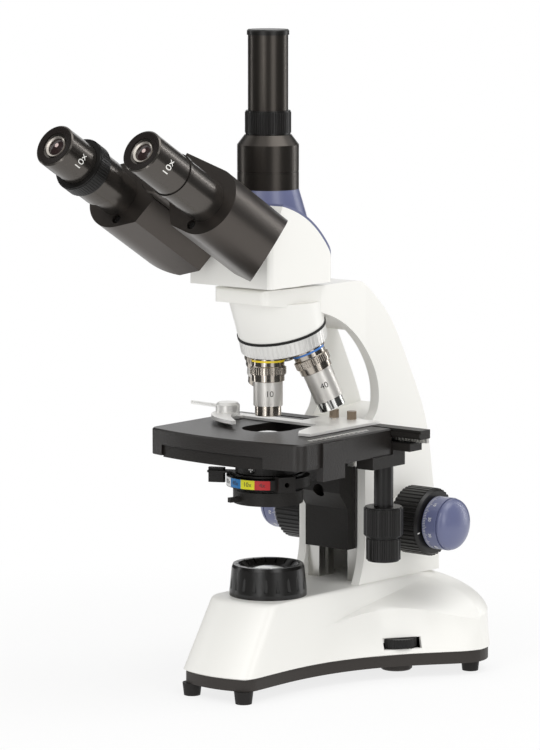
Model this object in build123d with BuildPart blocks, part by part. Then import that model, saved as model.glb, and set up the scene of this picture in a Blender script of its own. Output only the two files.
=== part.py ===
from build123d import *
import math
import os

# Trinocular microscope. Lengths are millimetres, angles are degrees.
# Heights are above the bench. Across and front-to-back places are from the optical axis:
# +X is the user's right and +Y points away from the user.

# Fits
RUN_FIT = 0.08
SEAT_FIT = 0.1
SLIDE_GAP = 0.3
FACE_GAP = 0.4

# Base
FOOT_HEIGHT = 8.5
FOOT_TOP_R = 6.5
FOOT_TIP_R = 5.5
FOOT_STEM_R = 2.5
FRONT_FOOT_X = 22.2
FRONT_FOOT_Y = -53.0
REAR_FOOT_X = 75.0
REAR_FOOT_Y = 128.0
PLATE_TOP = 17.2
PLATE_FLOOR = 2.5
PLATE_WALL = 3.0
PLATE_INSET = 1.2
BASE_TOP = 63.0
CREASE_Z = 44.0
DOME_Z = 53.0
SHOULDER_Z = 58.0
SHELL_WALL = 3.0
BASE_FRONT = -62.0
FRONT_RUN = 29.0
BASE_REAR = 157.0
FRONT_HALF = 30.0
REAR_HALF = 89.0
DOME_HALF = 74.0
SHOULDER_HALF = 43.0
SPINE_HALF = 34.0
FRONT_BOW = 4.5
CORNER_RUN = 14.0
NECK_Y = -23.0
WAIST_Y = 75.0
FLARE_Y = 98.0
HIP_Y = 122.0
REAR_ROUND = 0.52
REAR_PULL = 0.43
BOSS_R = 4.0
FRONT_BOSS = (15.0, -25.0)
REAR_BOSS = (58.0, 126.0)
BASE_SCREW_R = 1.5
BASE_SCREW_HEAD_R = 2.9
BASE_SCREW_HEAD_H = 1.4
BASE_SCREW_LENGTH = 16.0
ACCESS_CAP_R = 11.0
ACCESS_CAP_X = 40.0
ACCESS_CAP_Y = 90.0
ACCESS_CAP_DROP = 6.0

# Lamp
LAMP_FOOT_R = 26.0
LAMP_RIM_R = 23.6
LAMP_TOP = 84.0
LAMP_BORE_R = 16.0
LAMP_SPIGOT_R = 19.5
LAMP_SPIGOT_DEPTH = 6.0
LAMP_FLUTES = 20
LAMP_FLUTE_R = 1.6
LAMP_NOTCHES = 16
FIELD_LENS_R = 14.2
FIELD_LENS_SEAT = 76.0
FIELD_LENS_EDGE = 3.0
FIELD_LENS_CROWN = 6.2
LED_POST_R = 8.0
LED_POST_TOP = 50.0
LED_DISC_R = 11.0
LED_DISC_THICK = 2.0
LED_DOME_R = 3.0

# Brightness dial, rocker switch and power inlet
DIAL_SHARE = 0.645
DIAL_Z = 24.0
DIAL_R = 13.0
DIAL_THICK = 6.0
DIAL_PROUD = 1.0
DIAL_RIBS = 40
DIAL_RIB_R = 0.6
SLOT_LENGTH = 27.0
SLOT_HEIGHT = 7.6
DIMMER_SHAFT_R = 3.0
DIMMER_BODY = 10.5
DIMMER_HEIGHT = 6.5
SWITCH_X = 34.0
SWITCH_Z = 31.0
SWITCH_WIDTH = 13.0
SWITCH_HEIGHT = 19.0
SWITCH_RIM = 2.0
SWITCH_DEPTH = 12.0
ROCKER_TILT = 7.0
ROCKER_FIT = 0.5
ROCKER_THICK = 5.0
ROCKER_PIN_R = 1.2
ROCKER_PIN_HALF = 6.2
INLET_X = -34.0
INLET_Z = 31.0
INLET_R = 5.5
INLET_FLANGE_R = 8.0
INLET_BORE_R = 2.75
INLET_DEPTH = 11.0
PANEL_PROUD = 1.2

# Arm
ARM_FOOT_FRONT = 62.5
ARM_FRONT = 69.5
ARM_REAR = 148.0
ARM_TOP = 271.5
ARM_NOSE_Y = -30.5
ARM_NOSE_HALF = 22.5
ARM_HALF = 28.5
ARM_REAR_HALF = 33.0
ARM_SPREAD_Y = 21.0
ARM_NOSE_ROUND = 6.0
ARM_NOSE_THICK = 9.5
ARM_INNER_HALF = 22.0
CHANNEL_REAR = 128.0
CHANNEL_TOP = 160.0
HANDLE_FLOOR = 173.6
HANDLE_REAR_FLOOR = 180.0
HANDLE_ROOF = 232.0
ARM_BACK = ((140.0, 133.0), (133.3, 168.5), (112.6, 213.4), (92.1, 247.0), (74.0, 264.5))
ARM_SHOULDER_Y = 58.0
ARM_BELLY = ((22.0, 253.3), (47.2, 243.2), (76.5, 214.3), (83.4, 192.5), (81.5, 180.8))
ARM_CHIN_Z = 158.0
ARM_THROAT_Z = 92.0
HANDLE_FRONT = (40.0, 238.0)
HANDLE_SILL = (60.0, 86.0)
HANDLE_VAULT = ((94.0, 232.0), (76.0, 240.0), (60.0, 242.0))
ARM_SCREW_X = 24.2
ARM_SCREW_FRONT_Y = 80.0
ARM_SCREW_REAR_Y = 136.0
ARM_SCREW_R = 1.7
ARM_SCREW_HEAD_R = 2.3
ARM_SCREW_HEAD_H = 2.6
ARM_SCREW_LENGTH = 14.0
GUIDE_IN = 12.3
GUIDE_FRONT = 71.0
GUIDE_REAR = 87.0
GUIDE_GROOVE = 4.0
GUIDE_GROOVE_DEPTH = 0.9
HEAD_SOCKET_R = 19.5
HEAD_SOCKET_DEPTH = 7.0
LIGHT_BORE_R = 8.0
HEAD_SCREW_R = 2.0
HEAD_SCREW_Z = 267.6
HEAD_SCREW_HEAD_R = 3.0
HEAD_SCREW_HEAD = 1.0

# Focus
FOCUS_Y = 105.0
FOCUS_Z = 104.5
FOCUS_BOSS_R = 15.0
FOCUS_BOSS_OUT = 37.5
FOCUS_BUSH_R = 8.0
COARSE_SHAFT_R = 5.0
COARSE_KNOB_R = 23.25
COARSE_IN = 38.0
COARSE_OUT = 62.0
COARSE_RIBS = 44
COARSE_RIB_R = 1.0
FINE_SHAFT_R = 3.0
FINE_KNOB_R = 18.0
FINE_IN = 62.5
FINE_EDGE = 1.0
FINE_SKIRT = 74.5
FINE_WAIST = 1.0
FINE_WAIST_R = 16.9
FINE_DOME_R = 17.6
FINE_FULL = 0.55
FINE_TIP = 84.0
FINE_SHAFT_REACH = 72.0
PINION_TEETH = 12
PINION_MODULE = 1.0
PINION_HALF = 5.0
TOOTH_SHARE = 0.4
TOOTH_RISE = 0.7
TOOTH_SINK = 0.9
TIP_SHARE = 0.6
ROOT_SHARE = 1.15
RACK_HALF = 4.0
RACK_BELOW = 11.0
RACK_ABOVE = 26.0

# Stage: a fixed lower plate on the carrier, and a top plate that slides on it
STAGE_TOP = 175.5
STAGE_SKIN_BOTTOM = 165.3
STAGE_BOTTOM = 158.0
STAGE_HALF = 65.0
STAGE_CORNER_Y = -46.0
STAGE_BOW = 9.0
STAGE_REAR = 50.7
STAGE_CORNER_R = 8.0
STAGE_SKIRT = 7.0
STAGE_EDGE = 1.0
APERTURE_R = 17.5
APERTURE_REAR_R = 16.0
APERTURE_REAR_Y = 27.5
SIDE_BLOCK_FRONT = -25.0
SIDE_BLOCK_REAR = -1.7
SIDE_BLOCK_PROUD = 1.6
SIDE_BLOCK_BOTTOM = 149.0
SIDE_BLOCK_TOP = 174.0
LOWER_TOP = 164.8
LOWER_BOTTOM = 157.0
LOWER_LEFT = -51.0
LOWER_RIGHT = 37.0
LOWER_HALF = 51.0
LOWER_WIDE_Y = -36.0
LOWER_REAR = 50.0
LOWER_FRONT_SET = 1.5
LOWER_HOLE_R = 20.0
CARRIER_FRONT = 63.4
CARRIER_NECK_FRONT = 54.2
CARRIER_HALF = 18.3
CARRIER_BOTTOM = 86.0
CARRIER_BEND = 114.0
CARRIER_NECK = 126.0
CARRIER_TOP = 157.0
CARRIER_FLANGE_FRONT = 38.0
CARRIER_FLANGE = 6.5
CARRIER_FLANGE_HALF = 21.5
CARRIER_HOLE_R = 4.5
CARRIER_HOLE_Z = 126.5
CARRIER_HOLE_DEPTH = 9.0
CARRIER_REAR = 92.5
CARRIER_SLIDE_TOP = 153.0

# Condenser
CONDENSER_R = 18.6
CONDENSER_SHOULDER = 164.0
CONDENSER_TOP = 170.5
CONDENSER_BOTTOM = 135.6
CONDENSER_NOSE_R = 12.5
CONDENSER_LENS_R = 10.5
CONDENSER_LENS_EDGE = 1.4
CONDENSER_LENS_CROWN = 3.2
HOLDER_RING_R = 28.0
HOLDER_RING_BOTTOM = 137.6
HOLDER_RING_TOP = 144.4
HOLDER_NECK_R = 22.0
HOLDER_NECK_FOOT = 146.6
HOLDER_NECK_TOP = 154.0
HOLDER_ARM_HALF = 15.0
HOLDER_ARM_START = 12.0
HOLDER_ARM_BOTTOM = 137.6
HOLDER_ARM_TOP = 150.0
LUG_ANGLE = -28.5
LUG_REACH = 33.0
LUG_HALF = 6.0
LUG_BOTTOM = 136.6
LUG_TOP = 147.0
LUG_HOLE_R = 1.7
IRIS_RING_IN = 19.2
IRIS_RING_R = 24.0
IRIS_BOTTOM = 144.8
IRIS_TOP = 146.2
IRIS_LEVER_ANGLE = 206.0
IRIS_LEVER_REACH = 41.0
IRIS_TAB_IN = 29.5
IRIS_TAB_TOP = 148.0
IRIS_TAB_BOTTOM = 138.0
IRIS_LEVER_HALF = 4.0
IRIS_TAB_HALF = 2.0
FILTER_R = 23.5
FILTER_BORE_R = 16.5
FILTER_TOP = 134.8
FILTER_BOTTOM = 126.0
FILTER_FLOOR = 2.0
FILTER_SEAT_R = 18.0
FILTER_PIN_X = -23.0
FILTER_PIN_Y = 13.2
FILTER_PIN_R = 1.6
FILTER_EAR_R = 4.5
FILTER_EAR_BOTTOM = 128.8
FILTER_LEVER_REACH = 31.0
FILTER_LEVER_ANGLE = 252.0
FILTER_LEVER_HALF = 1.6

# Mechanical stage
DRIVE_X = 56.0
DRIVE_Y = 54.0
Y_TUBE_R = 6.5
Y_KNOB_R = 13.35
Y_KNOB_TOP = 121.6
Y_KNOB_BOTTOM = 101.5
X_KNOB_R = 11.65
X_KNOB_TOP = 101.0
X_KNOB_BOTTOM = 84.7
XY_RIBS = 24
XY_RIB_R = 1.0
X_SHAFT_R = 2.0
Y_PINION_TEETH = 10
Y_PINION_MODULE = 1.0
X_PINION_TEETH = 11
X_PINION_MODULE = 0.8
Y_RACK_BACK = 5.4
Y_RACK_FRONT = 28.0
Y_RACK_REAR = 65.0
Y_RACK_BOTTOM = 151.0
X_RACK_LEFT = 24.0
X_RACK_RIGHT = 88.0
RAIL_TOP = 175.9
RAIL_THICK = 6.0
RAIL_FRONT = 51.1
RAIL_REAR = 61.6
RAIL_LEFT = -52.0
RAIL_RIGHT = 89.0
RAIL_TONGUE = 1.4
RAIL_TONGUE_LOW = 171.2
RAIL_TONGUE_HIGH = 173.6
X_RACK_THICK = 3.2
X_RACK_BOTTOM = 166.6
HOUSING_LEFT = 52.3
HOUSING_RIGHT = 66.0
HOUSING_FRONT = 29.0
HOUSING_REAR = 64.4
HOUSING_BOTTOM = 149.8
BAR_BOTTOM = 161.0
BAR_TOP = 166.2
BAR_RIGHT = 80.0
FENCE_THICK = 2.4
FENCE_TOP = 174.0
HOLDER_THICK = 1.7
HOLDER_RIGHT = 47.2
HOLDER_REAR = 60.6
HOLDER_FLANGE_LEFT = 3.0
HOLDER_BAR_REAR = 33.0
HOLDER_BAR_FRONT = 24.0
HOLDER_LEFT = -57.0
HOLDER_TIP = (38.5, -16.0)
HOLDER_STEP = (32.0, -7.0)
HOLDER_CROOK = (24.0, 22.0)
HOLDER_SCREWS = ((12.0, 56.3), (27.0, 56.3))
HOLDER_SCREW_R = 3.2
HOLDER_SCREW_TOP = 183.2
HOLDER_SCREW_SHANK_R = 1.2
HOLDER_SCREW_SHANK = 4.0
CLIP_X = -49.0
CLIP_Y = 17.0
CLIP_PIN_R = 1.8
CLIP_PAD_R = 7.0
CLIP_TIP = (-17.0, -17.0)
CLIP_GAP = 0.7
CLIP_THICK = 2.4
CLIP_CAP_R = 8.2
CLIP_CAP_TOP = 187.0
CLIP_PIN_TOP = 185.0
CLIP_LEVER_REACH = 35.0
CLIP_LEVER_ANGLE = 174.0
CLIP_LEVER_HALF = 1.3
CLIP_LEVER_Z = 183.4

# Nosepiece and objectives
TURRET_TILT = 17.0
SEAT_CIRCLE_R = 19.0
SEAT_Z = 222.7
TURRET_R = 29.6
TURRET_GAP = 1.2
TURRET_TOP = 13.4
TURRET_FLOOR = 9.0
TURRET_BOWL_R = 28.2
TURRET_KNURLS = 60
TURRET_KNURL_R = 0.6
TURRET_CORE_R = 25.0
NOSE_FOOT_R = 29.4
NOSE_TOP_R = 31.2
NOSE_FOOT = 13.9
NOSE_REACH = 46.0
NOSE_CAVITY = 22.0
NOSE_HUB_R = 7.0
NOSE_TOP = 261.0
BOLT_R = 3.0
BOLT_HEAD_R = 6.0
BOLT_HEAD_H = 2.6
BOLT_END = 20.0
SEATS = 4
THREAD_R = 9.4
THREAD_LENGTH = 5.0
SHORT_OBJECTIVE = 29.0
MEDIUM_OBJECTIVE = 38.4
LONG_OBJECTIVE = 43.0
OIL_OBJECTIVE = 44.6
OBJECTIVE_COLLAR_R = 10.9
OBJECTIVE_COLLAR = 4.7
OBJECTIVE_KNURL_R = 12.2
OBJECTIVE_KNURL = 10.7
OBJECTIVE_KNURLS = 48
OBJECTIVE_KNURL_DEEP = 0.45
OBJECTIVE_STEP_R = 11.0
OBJECTIVE_STEP = 14.9
OBJECTIVE_BARREL_R = 9.7
OBJECTIVE_TIP = 6.8
OBJECTIVE_TIP_R = 8.85
OBJECTIVE_TIP_INSIDE = 7.0
OBJECTIVE_TIP_TRAVEL = 2.0
OBJECTIVE_BORE_R = 6.0
OBJECTIVE_LENS_R = 2.6

# Head
HEAD_BOTTOM = 274.2
HEAD_HALF = 35.0
HEAD_FRONT = -41.0
HEAD_REAR = 25.6
HEAD_WALL = 3.5
HEAD_ROUND = 5.0
HEAD_PLAN_OVER = 0.6
HEAD_FACE_FOOT = 303.0
HEAD_FACE_TOP = (-27.3, 329.2)
HEAD_BACK = ((-3.2, 320.0), (15.1, 305.7), (25.0, 291.9))
COVER_THICK = 1.6
COLLAR_R = 27.5
COLLAR_FOOT = 312.0
COLLAR_REAR = 25.3
DOVETAIL_GAP = 0.3
HEAD_RING_R = 24.0
PHOTO_R = 20.5
PHOTO_FOOT = 336.0
PHOTO_SPIGOT_R = 17.0
PHOTO_SPIGOT_FOOT = 310.0
PHOTO_SHOULDER = 365.4
PHOTO_NECK = 371.9
PHOTO_NECK_R = 15.6
PHOTO_GROOVE_Z = 347.7
PHOTO_GROOVE = 0.6
PHOTO_RING_R = 15.35
PHOTO_RING_FOOT = 372.2
PHOTO_RING_TOP = 387.9
PHOTO_RING_KNURLS = 56
PHOTO_RING_KNURL_R = 0.45
PHOTO_TUBE_R = 13.35
PHOTO_TUBE_BORE_R = 11.4
PHOTO_TUBE_SPIGOT_R = 12.5
PHOTO_TUBE_FOOT = 352.0
PHOTO_TUBE_TOP = 437.7
CAP_R = 14.0
CAP_TOP = 441.3
CAP_PLUG = 6.0

# Binocular tubes, measured from the eye end along the tube
TUBE_TILT = 30.0
EYE_Y = -170.0
EYE_Z = 372.8
HINGE_TO_TUBE = 38.0
WING_DROOP = 16.3
WING_DROOP_MAX = 42.8
WING_R = 23.3
WING_FRONT = 71.5
WING_REAR = 145.3
WING_GAP = 0.8
WING_CUT = 122.0
WING_GROOVE = 81.6
WING_GROOVE_W = 0.8
WING_GROOVE_D = 0.7
WING_BORE_R = 11.5
WING_BORE_END = 116.0
WING_SCREW_R = 3.2
WING_SCREW_DEPTH = 2.4
WING_SCREW_DOWN = 17.5
DRUM_R = 12.5
DRUM_FRONT = 60.0
DRUM_REAR = 124.0
DRUM_GAP = 0.6
SHAFT_R = 5.0
SHAFT_END = 152.0
LUG_R = 12.0
RIGHT_LUG = (125.0, 134.2)
LEFT_LUG = (134.8, 144.0)
TUBE_R = 14.4
TUBE_BORE_R = 11.7
TUBE_SPIGOT_R = 13.0
TUBE_SPIGOT = 9.0
TUBE_FRONT = 33.3
TUBE_RING_END = 36.4
TUBE_RING_R = 15.0
DIOPTRE_R = 18.0
DIOPTRE_FRONT = 26.0
DIOPTRE_REAR = 37.5
DIOPTRE_KNURLS = 60
DIOPTRE_KNURL_R = 0.5
WINDOW_COLLAR_R = 16.2
WINDOW_COLLAR_END = 53.0
EYEPIECE_R = 14.25
EYEPIECE_EDGE = 0.8
EYEPIECE_LENGTH = 33.0
EYEPIECE_BARREL_R = 11.6
EYEPIECE_REACH = 24.0
EYEPIECE_EYE_R = 9.0
EYEPIECE_DISH = 3.0
EYEPIECE_LENS_R = 6.0
EYEPIECE_LENS_THICK = 3.0

# The frame's origin lies under the middle of the whole outline, front to back
tube_rise = math.radians(TUBE_TILT)
front_reach = EYE_Y - (EYEPIECE_R - EYEPIECE_EDGE) * math.sin(tube_rise)
rear_reach = BASE_REAR + PANEL_PROUD
AXIS_Y = -(front_reach + rear_reach) / 2

os.makedirs("parts", exist_ok=True)


def level(height, x=0.0, y=0.0):
    """Level plane at a height, centred x and y from the optical axis."""
    return Plane(origin=(x, AXIS_Y + y, height))


def side(x):
    """Upright plane facing +X, drawn with front-to-back across and height up."""
    return Plane(origin=(x, AXIS_Y, 0), x_dir=(0, 1, 0), z_dir=(1, 0, 0))


def half_section(frame, *points):
    """Half section of a turned piece, as (radius, height) points about a frame's normal."""
    with BuildSketch(Plane(origin=frame.origin, x_dir=frame.x_dir, z_dir=-frame.y_dir)) as section:
        with BuildLine():
            Polyline(*points, close=True)
        make_face()
    return section.sketch


def lens_section(frame, radius, foot, edge, crown):
    """Half section of a lens with a flat foot and a domed top."""
    with BuildSketch(Plane(origin=frame.origin, x_dir=frame.x_dir, z_dir=-frame.y_dir)) as section:
        with BuildLine():
            Polyline((0, foot + crown), (0, foot), (radius, foot), (radius, foot + edge))
            TangentArc((0, foot + crown), (radius, foot + edge), tangent=(1, 0))
        make_face()
    return section.sketch


def turn_axis(frame):
    """Axis along a frame's normal."""
    return Axis(frame.origin, frame.z_dir)


def turned(frame, angle):
    """The frame turned about its own normal."""
    turn = math.radians(angle)
    return Plane(
        origin=frame.origin,
        x_dir=frame.x_dir * math.cos(turn) + frame.y_dir * math.sin(turn),
        z_dir=frame.z_dir,
    )


def ribbed_disc(frame, radius, ribs, rib_r):
    """Round section with small grooves around its edge."""
    with BuildSketch(frame) as section:
        Circle(radius)
        with PolarLocations(radius + rib_r * 0.35, ribs):
            Circle(rib_r, mode=Mode.SUBTRACT)
    return section.sketch


def gear_section(frame, module, teeth, turn=0.0):
    """Pinion section with straight-sided teeth, the first one centred at the given turn."""
    pitch_r = module * teeth / 2
    tooth = math.pi * module * TOOTH_SHARE
    tip = tooth * TIP_SHARE
    with BuildSketch(frame) as section:
        Circle(pitch_r - TOOTH_SINK * module)
        with PolarLocations(pitch_r, teeth, start_angle=turn):
            Polygon(
                (-TOOTH_SINK * module * 1.4, -tooth / 2 * ROOT_SHARE),
                (0, -tooth / 2),
                (TOOTH_RISE * module, -tip / 2),
                (TOOTH_RISE * module, tip / 2),
                (0, tooth / 2),
                (-TOOTH_SINK * module * 1.4, tooth / 2 * ROOT_SHARE),
                align=None,
            )
    return section.sketch


def rack_section(frame, module, first, last, back):
    """Rack section along local x with teeth up to y = 0 as pitch line and its back at -back."""
    pitch = math.pi * module
    tooth = pitch * TOOTH_SHARE
    tip = tooth * TIP_SHARE
    root = -TOOTH_SINK * module
    with BuildSketch(frame) as section:
        with Locations(((first + last) / 2, (root - back) / 2)):
            Rectangle(last - first, back + root)
        spots = [
            (pitch * (k + 0.5), 0)
            for k in range(math.ceil(first / pitch), math.floor(last / pitch))
        ]
        with Locations(*spots):
            Polygon(
                (-tooth / 2 * ROOT_SHARE, root - 0.2 * module),
                (-tooth / 2, 0),
                (-tip / 2, TOOTH_RISE * module),
                (tip / 2, TOOTH_RISE * module),
                (tooth / 2, 0),
                (tooth / 2 * ROOT_SHARE, root - 0.2 * module),
                align=None,
            )
    return section.sketch


# Base outlines
front_slope = FRONT_RUN / (BASE_TOP - PLATE_TOP)


def front_at(height):
    """Front edge of the sloping front face at a height."""
    return BASE_FRONT + (height - PLATE_TOP) * front_slope


def hip_curve(half_front, half_rear):
    """Waisted side of the base, from the neck to the hip."""
    return Bezier(
        (half_front, NECK_Y),
        (half_front, WAIST_Y),
        (half_rear - 2, FLARE_Y),
        (half_rear, HIP_Y),
    )


def base_outline(height, half_front, half_rear, inset=0.0, drop=0.0):
    """Plan of the base at a height, moved inwards by the inset and down by the drop."""
    front = front_at(height) + inset
    near = half_front - inset
    far = half_rear - inset
    rear = BASE_REAR - inset
    corner = far * REAR_ROUND
    pull = corner * REAR_PULL
    bow_x = near - CORNER_RUN * 0.38
    with BuildSketch(level(height - drop)) as section:
        with BuildLine():
            ThreePointArc((-bow_x, front + FRONT_BOW), (0, front), (bow_x, front + FRONT_BOW))
            Bezier((bow_x, front + FRONT_BOW), (near, front + FRONT_BOW * 1.5), (near, front + CORNER_RUN))
            Line((near, front + CORNER_RUN), (near, NECK_Y))
            add(hip_curve(near, far))
            Bezier((far, HIP_Y), (far, HIP_Y + pull), (far - pull, rear), (far - corner, rear))
            Line((far - corner, rear), (corner - far, rear))
            Bezier((corner - far, rear), (pull - far, rear), (-far, HIP_Y + pull), (-far, HIP_Y))
            add(mirror(hip_curve(near, far), about=Plane.YZ, mode=Mode.PRIVATE))
            Line((-near, NECK_Y), (-near, front + CORNER_RUN))
            Bezier((-near, front + CORNER_RUN), (-near, front + FRONT_BOW * 1.5), (-bow_x, front + FRONT_BOW))
        make_face()
    return section.sketch


def four_spots(near, far):
    """Left and right places of a front pair and a rear pair."""
    return [(near[0], near[1]), (-near[0], near[1]), (far[0], far[1]), (-far[0], far[1])]


plate_bottom = FOOT_HEIGHT
plate_floor_top = plate_bottom + PLATE_FLOOR
foot_spots = four_spots((FRONT_FOOT_X, FRONT_FOOT_Y), (REAR_FOOT_X, REAR_FOOT_Y))
boss_spots = four_spots(FRONT_BOSS, REAR_BOSS)
arm_screw_spots = four_spots((ARM_SCREW_X, ARM_SCREW_FRONT_Y), (ARM_SCREW_X, ARM_SCREW_REAR_Y))

# Brightness dial place, found along the waisted side
wall_curve = hip_curve(FRONT_HALF, REAR_HALF)
wall_point = wall_curve @ DIAL_SHARE
wall_dir = wall_curve % DIAL_SHARE
wall_out = Vector(wall_dir.Y, -wall_dir.X, 0)
dial_centre = wall_point - wall_out * (DIAL_R - DIAL_PROUD)
slot_frame = Plane(
    origin=(wall_point.X, AXIS_Y + wall_point.Y, DIAL_Z),
    x_dir=(wall_dir.X, wall_dir.Y, 0),
    z_dir=(wall_out.X, wall_out.Y, 0),
)
dial_bottom = DIAL_Z - DIAL_THICK / 2

# Base plate: the dark pan under the shell
with BuildPart() as base_plate:
    extrude(base_outline(PLATE_TOP, FRONT_HALF, REAR_HALF, PLATE_INSET, PLATE_TOP - plate_bottom),
            amount=PLATE_TOP - plate_bottom)
    extrude(
        base_outline(PLATE_TOP, FRONT_HALF, REAR_HALF, PLATE_INSET + PLATE_WALL, PLATE_TOP - plate_floor_top),
        amount=PLATE_TOP,
        mode=Mode.SUBTRACT,
    )
    with Locations(*[level(plate_bottom, x, y) for x, y in foot_spots]):
        Cylinder(FOOT_STEM_R + SEAT_FIT, PLATE_FLOOR * 3, mode=Mode.SUBTRACT)
    with Locations(*[level(plate_bottom, x, y) for x, y in boss_spots]):
        Cylinder(BASE_SCREW_R + SEAT_FIT, PLATE_FLOOR * 3, mode=Mode.SUBTRACT)
        Cylinder(BASE_SCREW_HEAD_R + SEAT_FIT, BASE_SCREW_HEAD_H * 2, mode=Mode.SUBTRACT)
base_plate.part.label = "base_plate"
export_step(base_plate.part, "parts/base_plate.step")

# Feet: rubber studs with a stem pushed into the plate
with BuildPart() as feet:
    for x, y in foot_spots:
        foot_frame = level(0, x, y)
        revolve(
            half_section(
                foot_frame,
                (0, 0), (FOOT_TIP_R, 0), (FOOT_TOP_R, FOOT_HEIGHT), (FOOT_STEM_R, FOOT_HEIGHT),
                (FOOT_STEM_R, plate_floor_top), (0, plate_floor_top),
            ),
            turn_axis(foot_frame),
        )
feet.part.label = "feet"
export_step(feet.part, "parts/feet.step")

# Access cap: the round cap under the right side of the base
with BuildPart() as access_cap:
    cap_frame = level(plate_bottom - ACCESS_CAP_DROP, ACCESS_CAP_X, ACCESS_CAP_Y)
    revolve(
        half_section(
            cap_frame,
            (0, 0), (ACCESS_CAP_R - 1, 0), (ACCESS_CAP_R, 1), (ACCESS_CAP_R, ACCESS_CAP_DROP), (0, ACCESS_CAP_DROP),
        ),
        turn_axis(cap_frame),
    )
    with BuildSketch(cap_frame):
        Rectangle(ACCESS_CAP_R, 1.6)
    extrude(amount=1.2, mode=Mode.SUBTRACT)
access_cap.part.label = "access_cap"
export_step(access_cap.part, "parts/access_cap.step")

# Base shell: flared body with a raised flat spine along its middle
shell_profile = [
    (PLATE_TOP, FRONT_HALF, REAR_HALF),
    (CREASE_Z, FRONT_HALF, REAR_HALF),
    (DOME_Z, FRONT_HALF, DOME_HALF),
    (SHOULDER_Z, FRONT_HALF, SHOULDER_HALF),
]
spine_profile = [
    (SHOULDER_Z, FRONT_HALF, SPINE_HALF),
    (BASE_TOP, FRONT_HALF - 1, SPINE_HALF - 1),
]
with BuildPart() as base_shell:
    loft([base_outline(*row) for row in shell_profile], ruled=True)
    loft([base_outline(*row) for row in spine_profile], ruled=True)
    loft([base_outline(*row, SHELL_WALL, SHELL_WALL if row[0] > PLATE_TOP else 0) for row in shell_profile],
         ruled=True, mode=Mode.SUBTRACT)
    loft([base_outline(*row, SHELL_WALL, SHELL_WALL) for row in spine_profile], ruled=True, mode=Mode.SUBTRACT)
    with BuildSketch(level(plate_floor_top)):
        with Locations(*boss_spots[:2]):
            Circle(BOSS_R)
    extrude(amount=BASE_TOP - SHELL_WALL - plate_floor_top)
    with BuildSketch(level(plate_floor_top)):
        with Locations(*boss_spots[2:]):
            Circle(BOSS_R)
    extrude(amount=DOME_Z + SHELL_WALL / 3 - plate_floor_top)
    with Locations(*[level(plate_floor_top, x, y) for x, y in boss_spots]):
        Cylinder(BASE_SCREW_R + SEAT_FIT, BASE_SCREW_LENGTH * 2, mode=Mode.SUBTRACT)
    with Locations(level(BASE_TOP)):
        Cylinder(LAMP_SPIGOT_R + SEAT_FIT, SHELL_WALL * 4, mode=Mode.SUBTRACT)
    with Locations(*[level(BASE_TOP, x, y) for x, y in arm_screw_spots]):
        Cylinder(ARM_SCREW_R + SEAT_FIT, SHELL_WALL * 3, mode=Mode.SUBTRACT)
    with BuildSketch(slot_frame):
        Rectangle(SLOT_LENGTH, SLOT_HEIGHT)
    extrude(amount=SHELL_WALL * 3, both=True, mode=Mode.SUBTRACT)
    with BuildSketch(Plane(origin=(0, AXIS_Y + BASE_REAR, 0), x_dir=(1, 0, 0), z_dir=(0, -1, 0))):
        with Locations((SWITCH_X, SWITCH_Z)):
            Rectangle(SWITCH_WIDTH, SWITCH_HEIGHT)
        with Locations((INLET_X, INLET_Z)):
            Circle(INLET_R + SEAT_FIT)
    extrude(amount=SHELL_WALL * 2, both=True, mode=Mode.SUBTRACT)
base_shell.part.label = "base_shell"
export_step(base_shell.part, "parts/base_shell.step")

# Screws: four hold the plate to the shell, four hold the arm on the spine
with BuildPart() as base_screws:
    for x, y in boss_spots:
        screw_frame = level(plate_bottom, x, y)
        revolve(
            half_section(
                screw_frame,
                (0, 0.2), (BASE_SCREW_HEAD_R, 0.2), (BASE_SCREW_HEAD_R, BASE_SCREW_HEAD_H),
                (BASE_SCREW_R, BASE_SCREW_HEAD_H), (BASE_SCREW_R, BASE_SCREW_LENGTH), (0, BASE_SCREW_LENGTH),
            ),
            turn_axis(screw_frame),
        )
    for x, y in arm_screw_spots:
        screw_frame = level(BASE_TOP - SHELL_WALL, x, y)
        revolve(
            half_section(
                screw_frame,
                (0, -ARM_SCREW_HEAD_H), (ARM_SCREW_HEAD_R, -ARM_SCREW_HEAD_H), (ARM_SCREW_HEAD_R, 0),
                (ARM_SCREW_R, 0), (ARM_SCREW_R, ARM_SCREW_LENGTH), (0, ARM_SCREW_LENGTH),
            ),
            turn_axis(screw_frame),
        )
base_screws.part.label = "base_screws"
export_step(base_screws.part, "parts/base_screws.step")

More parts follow.
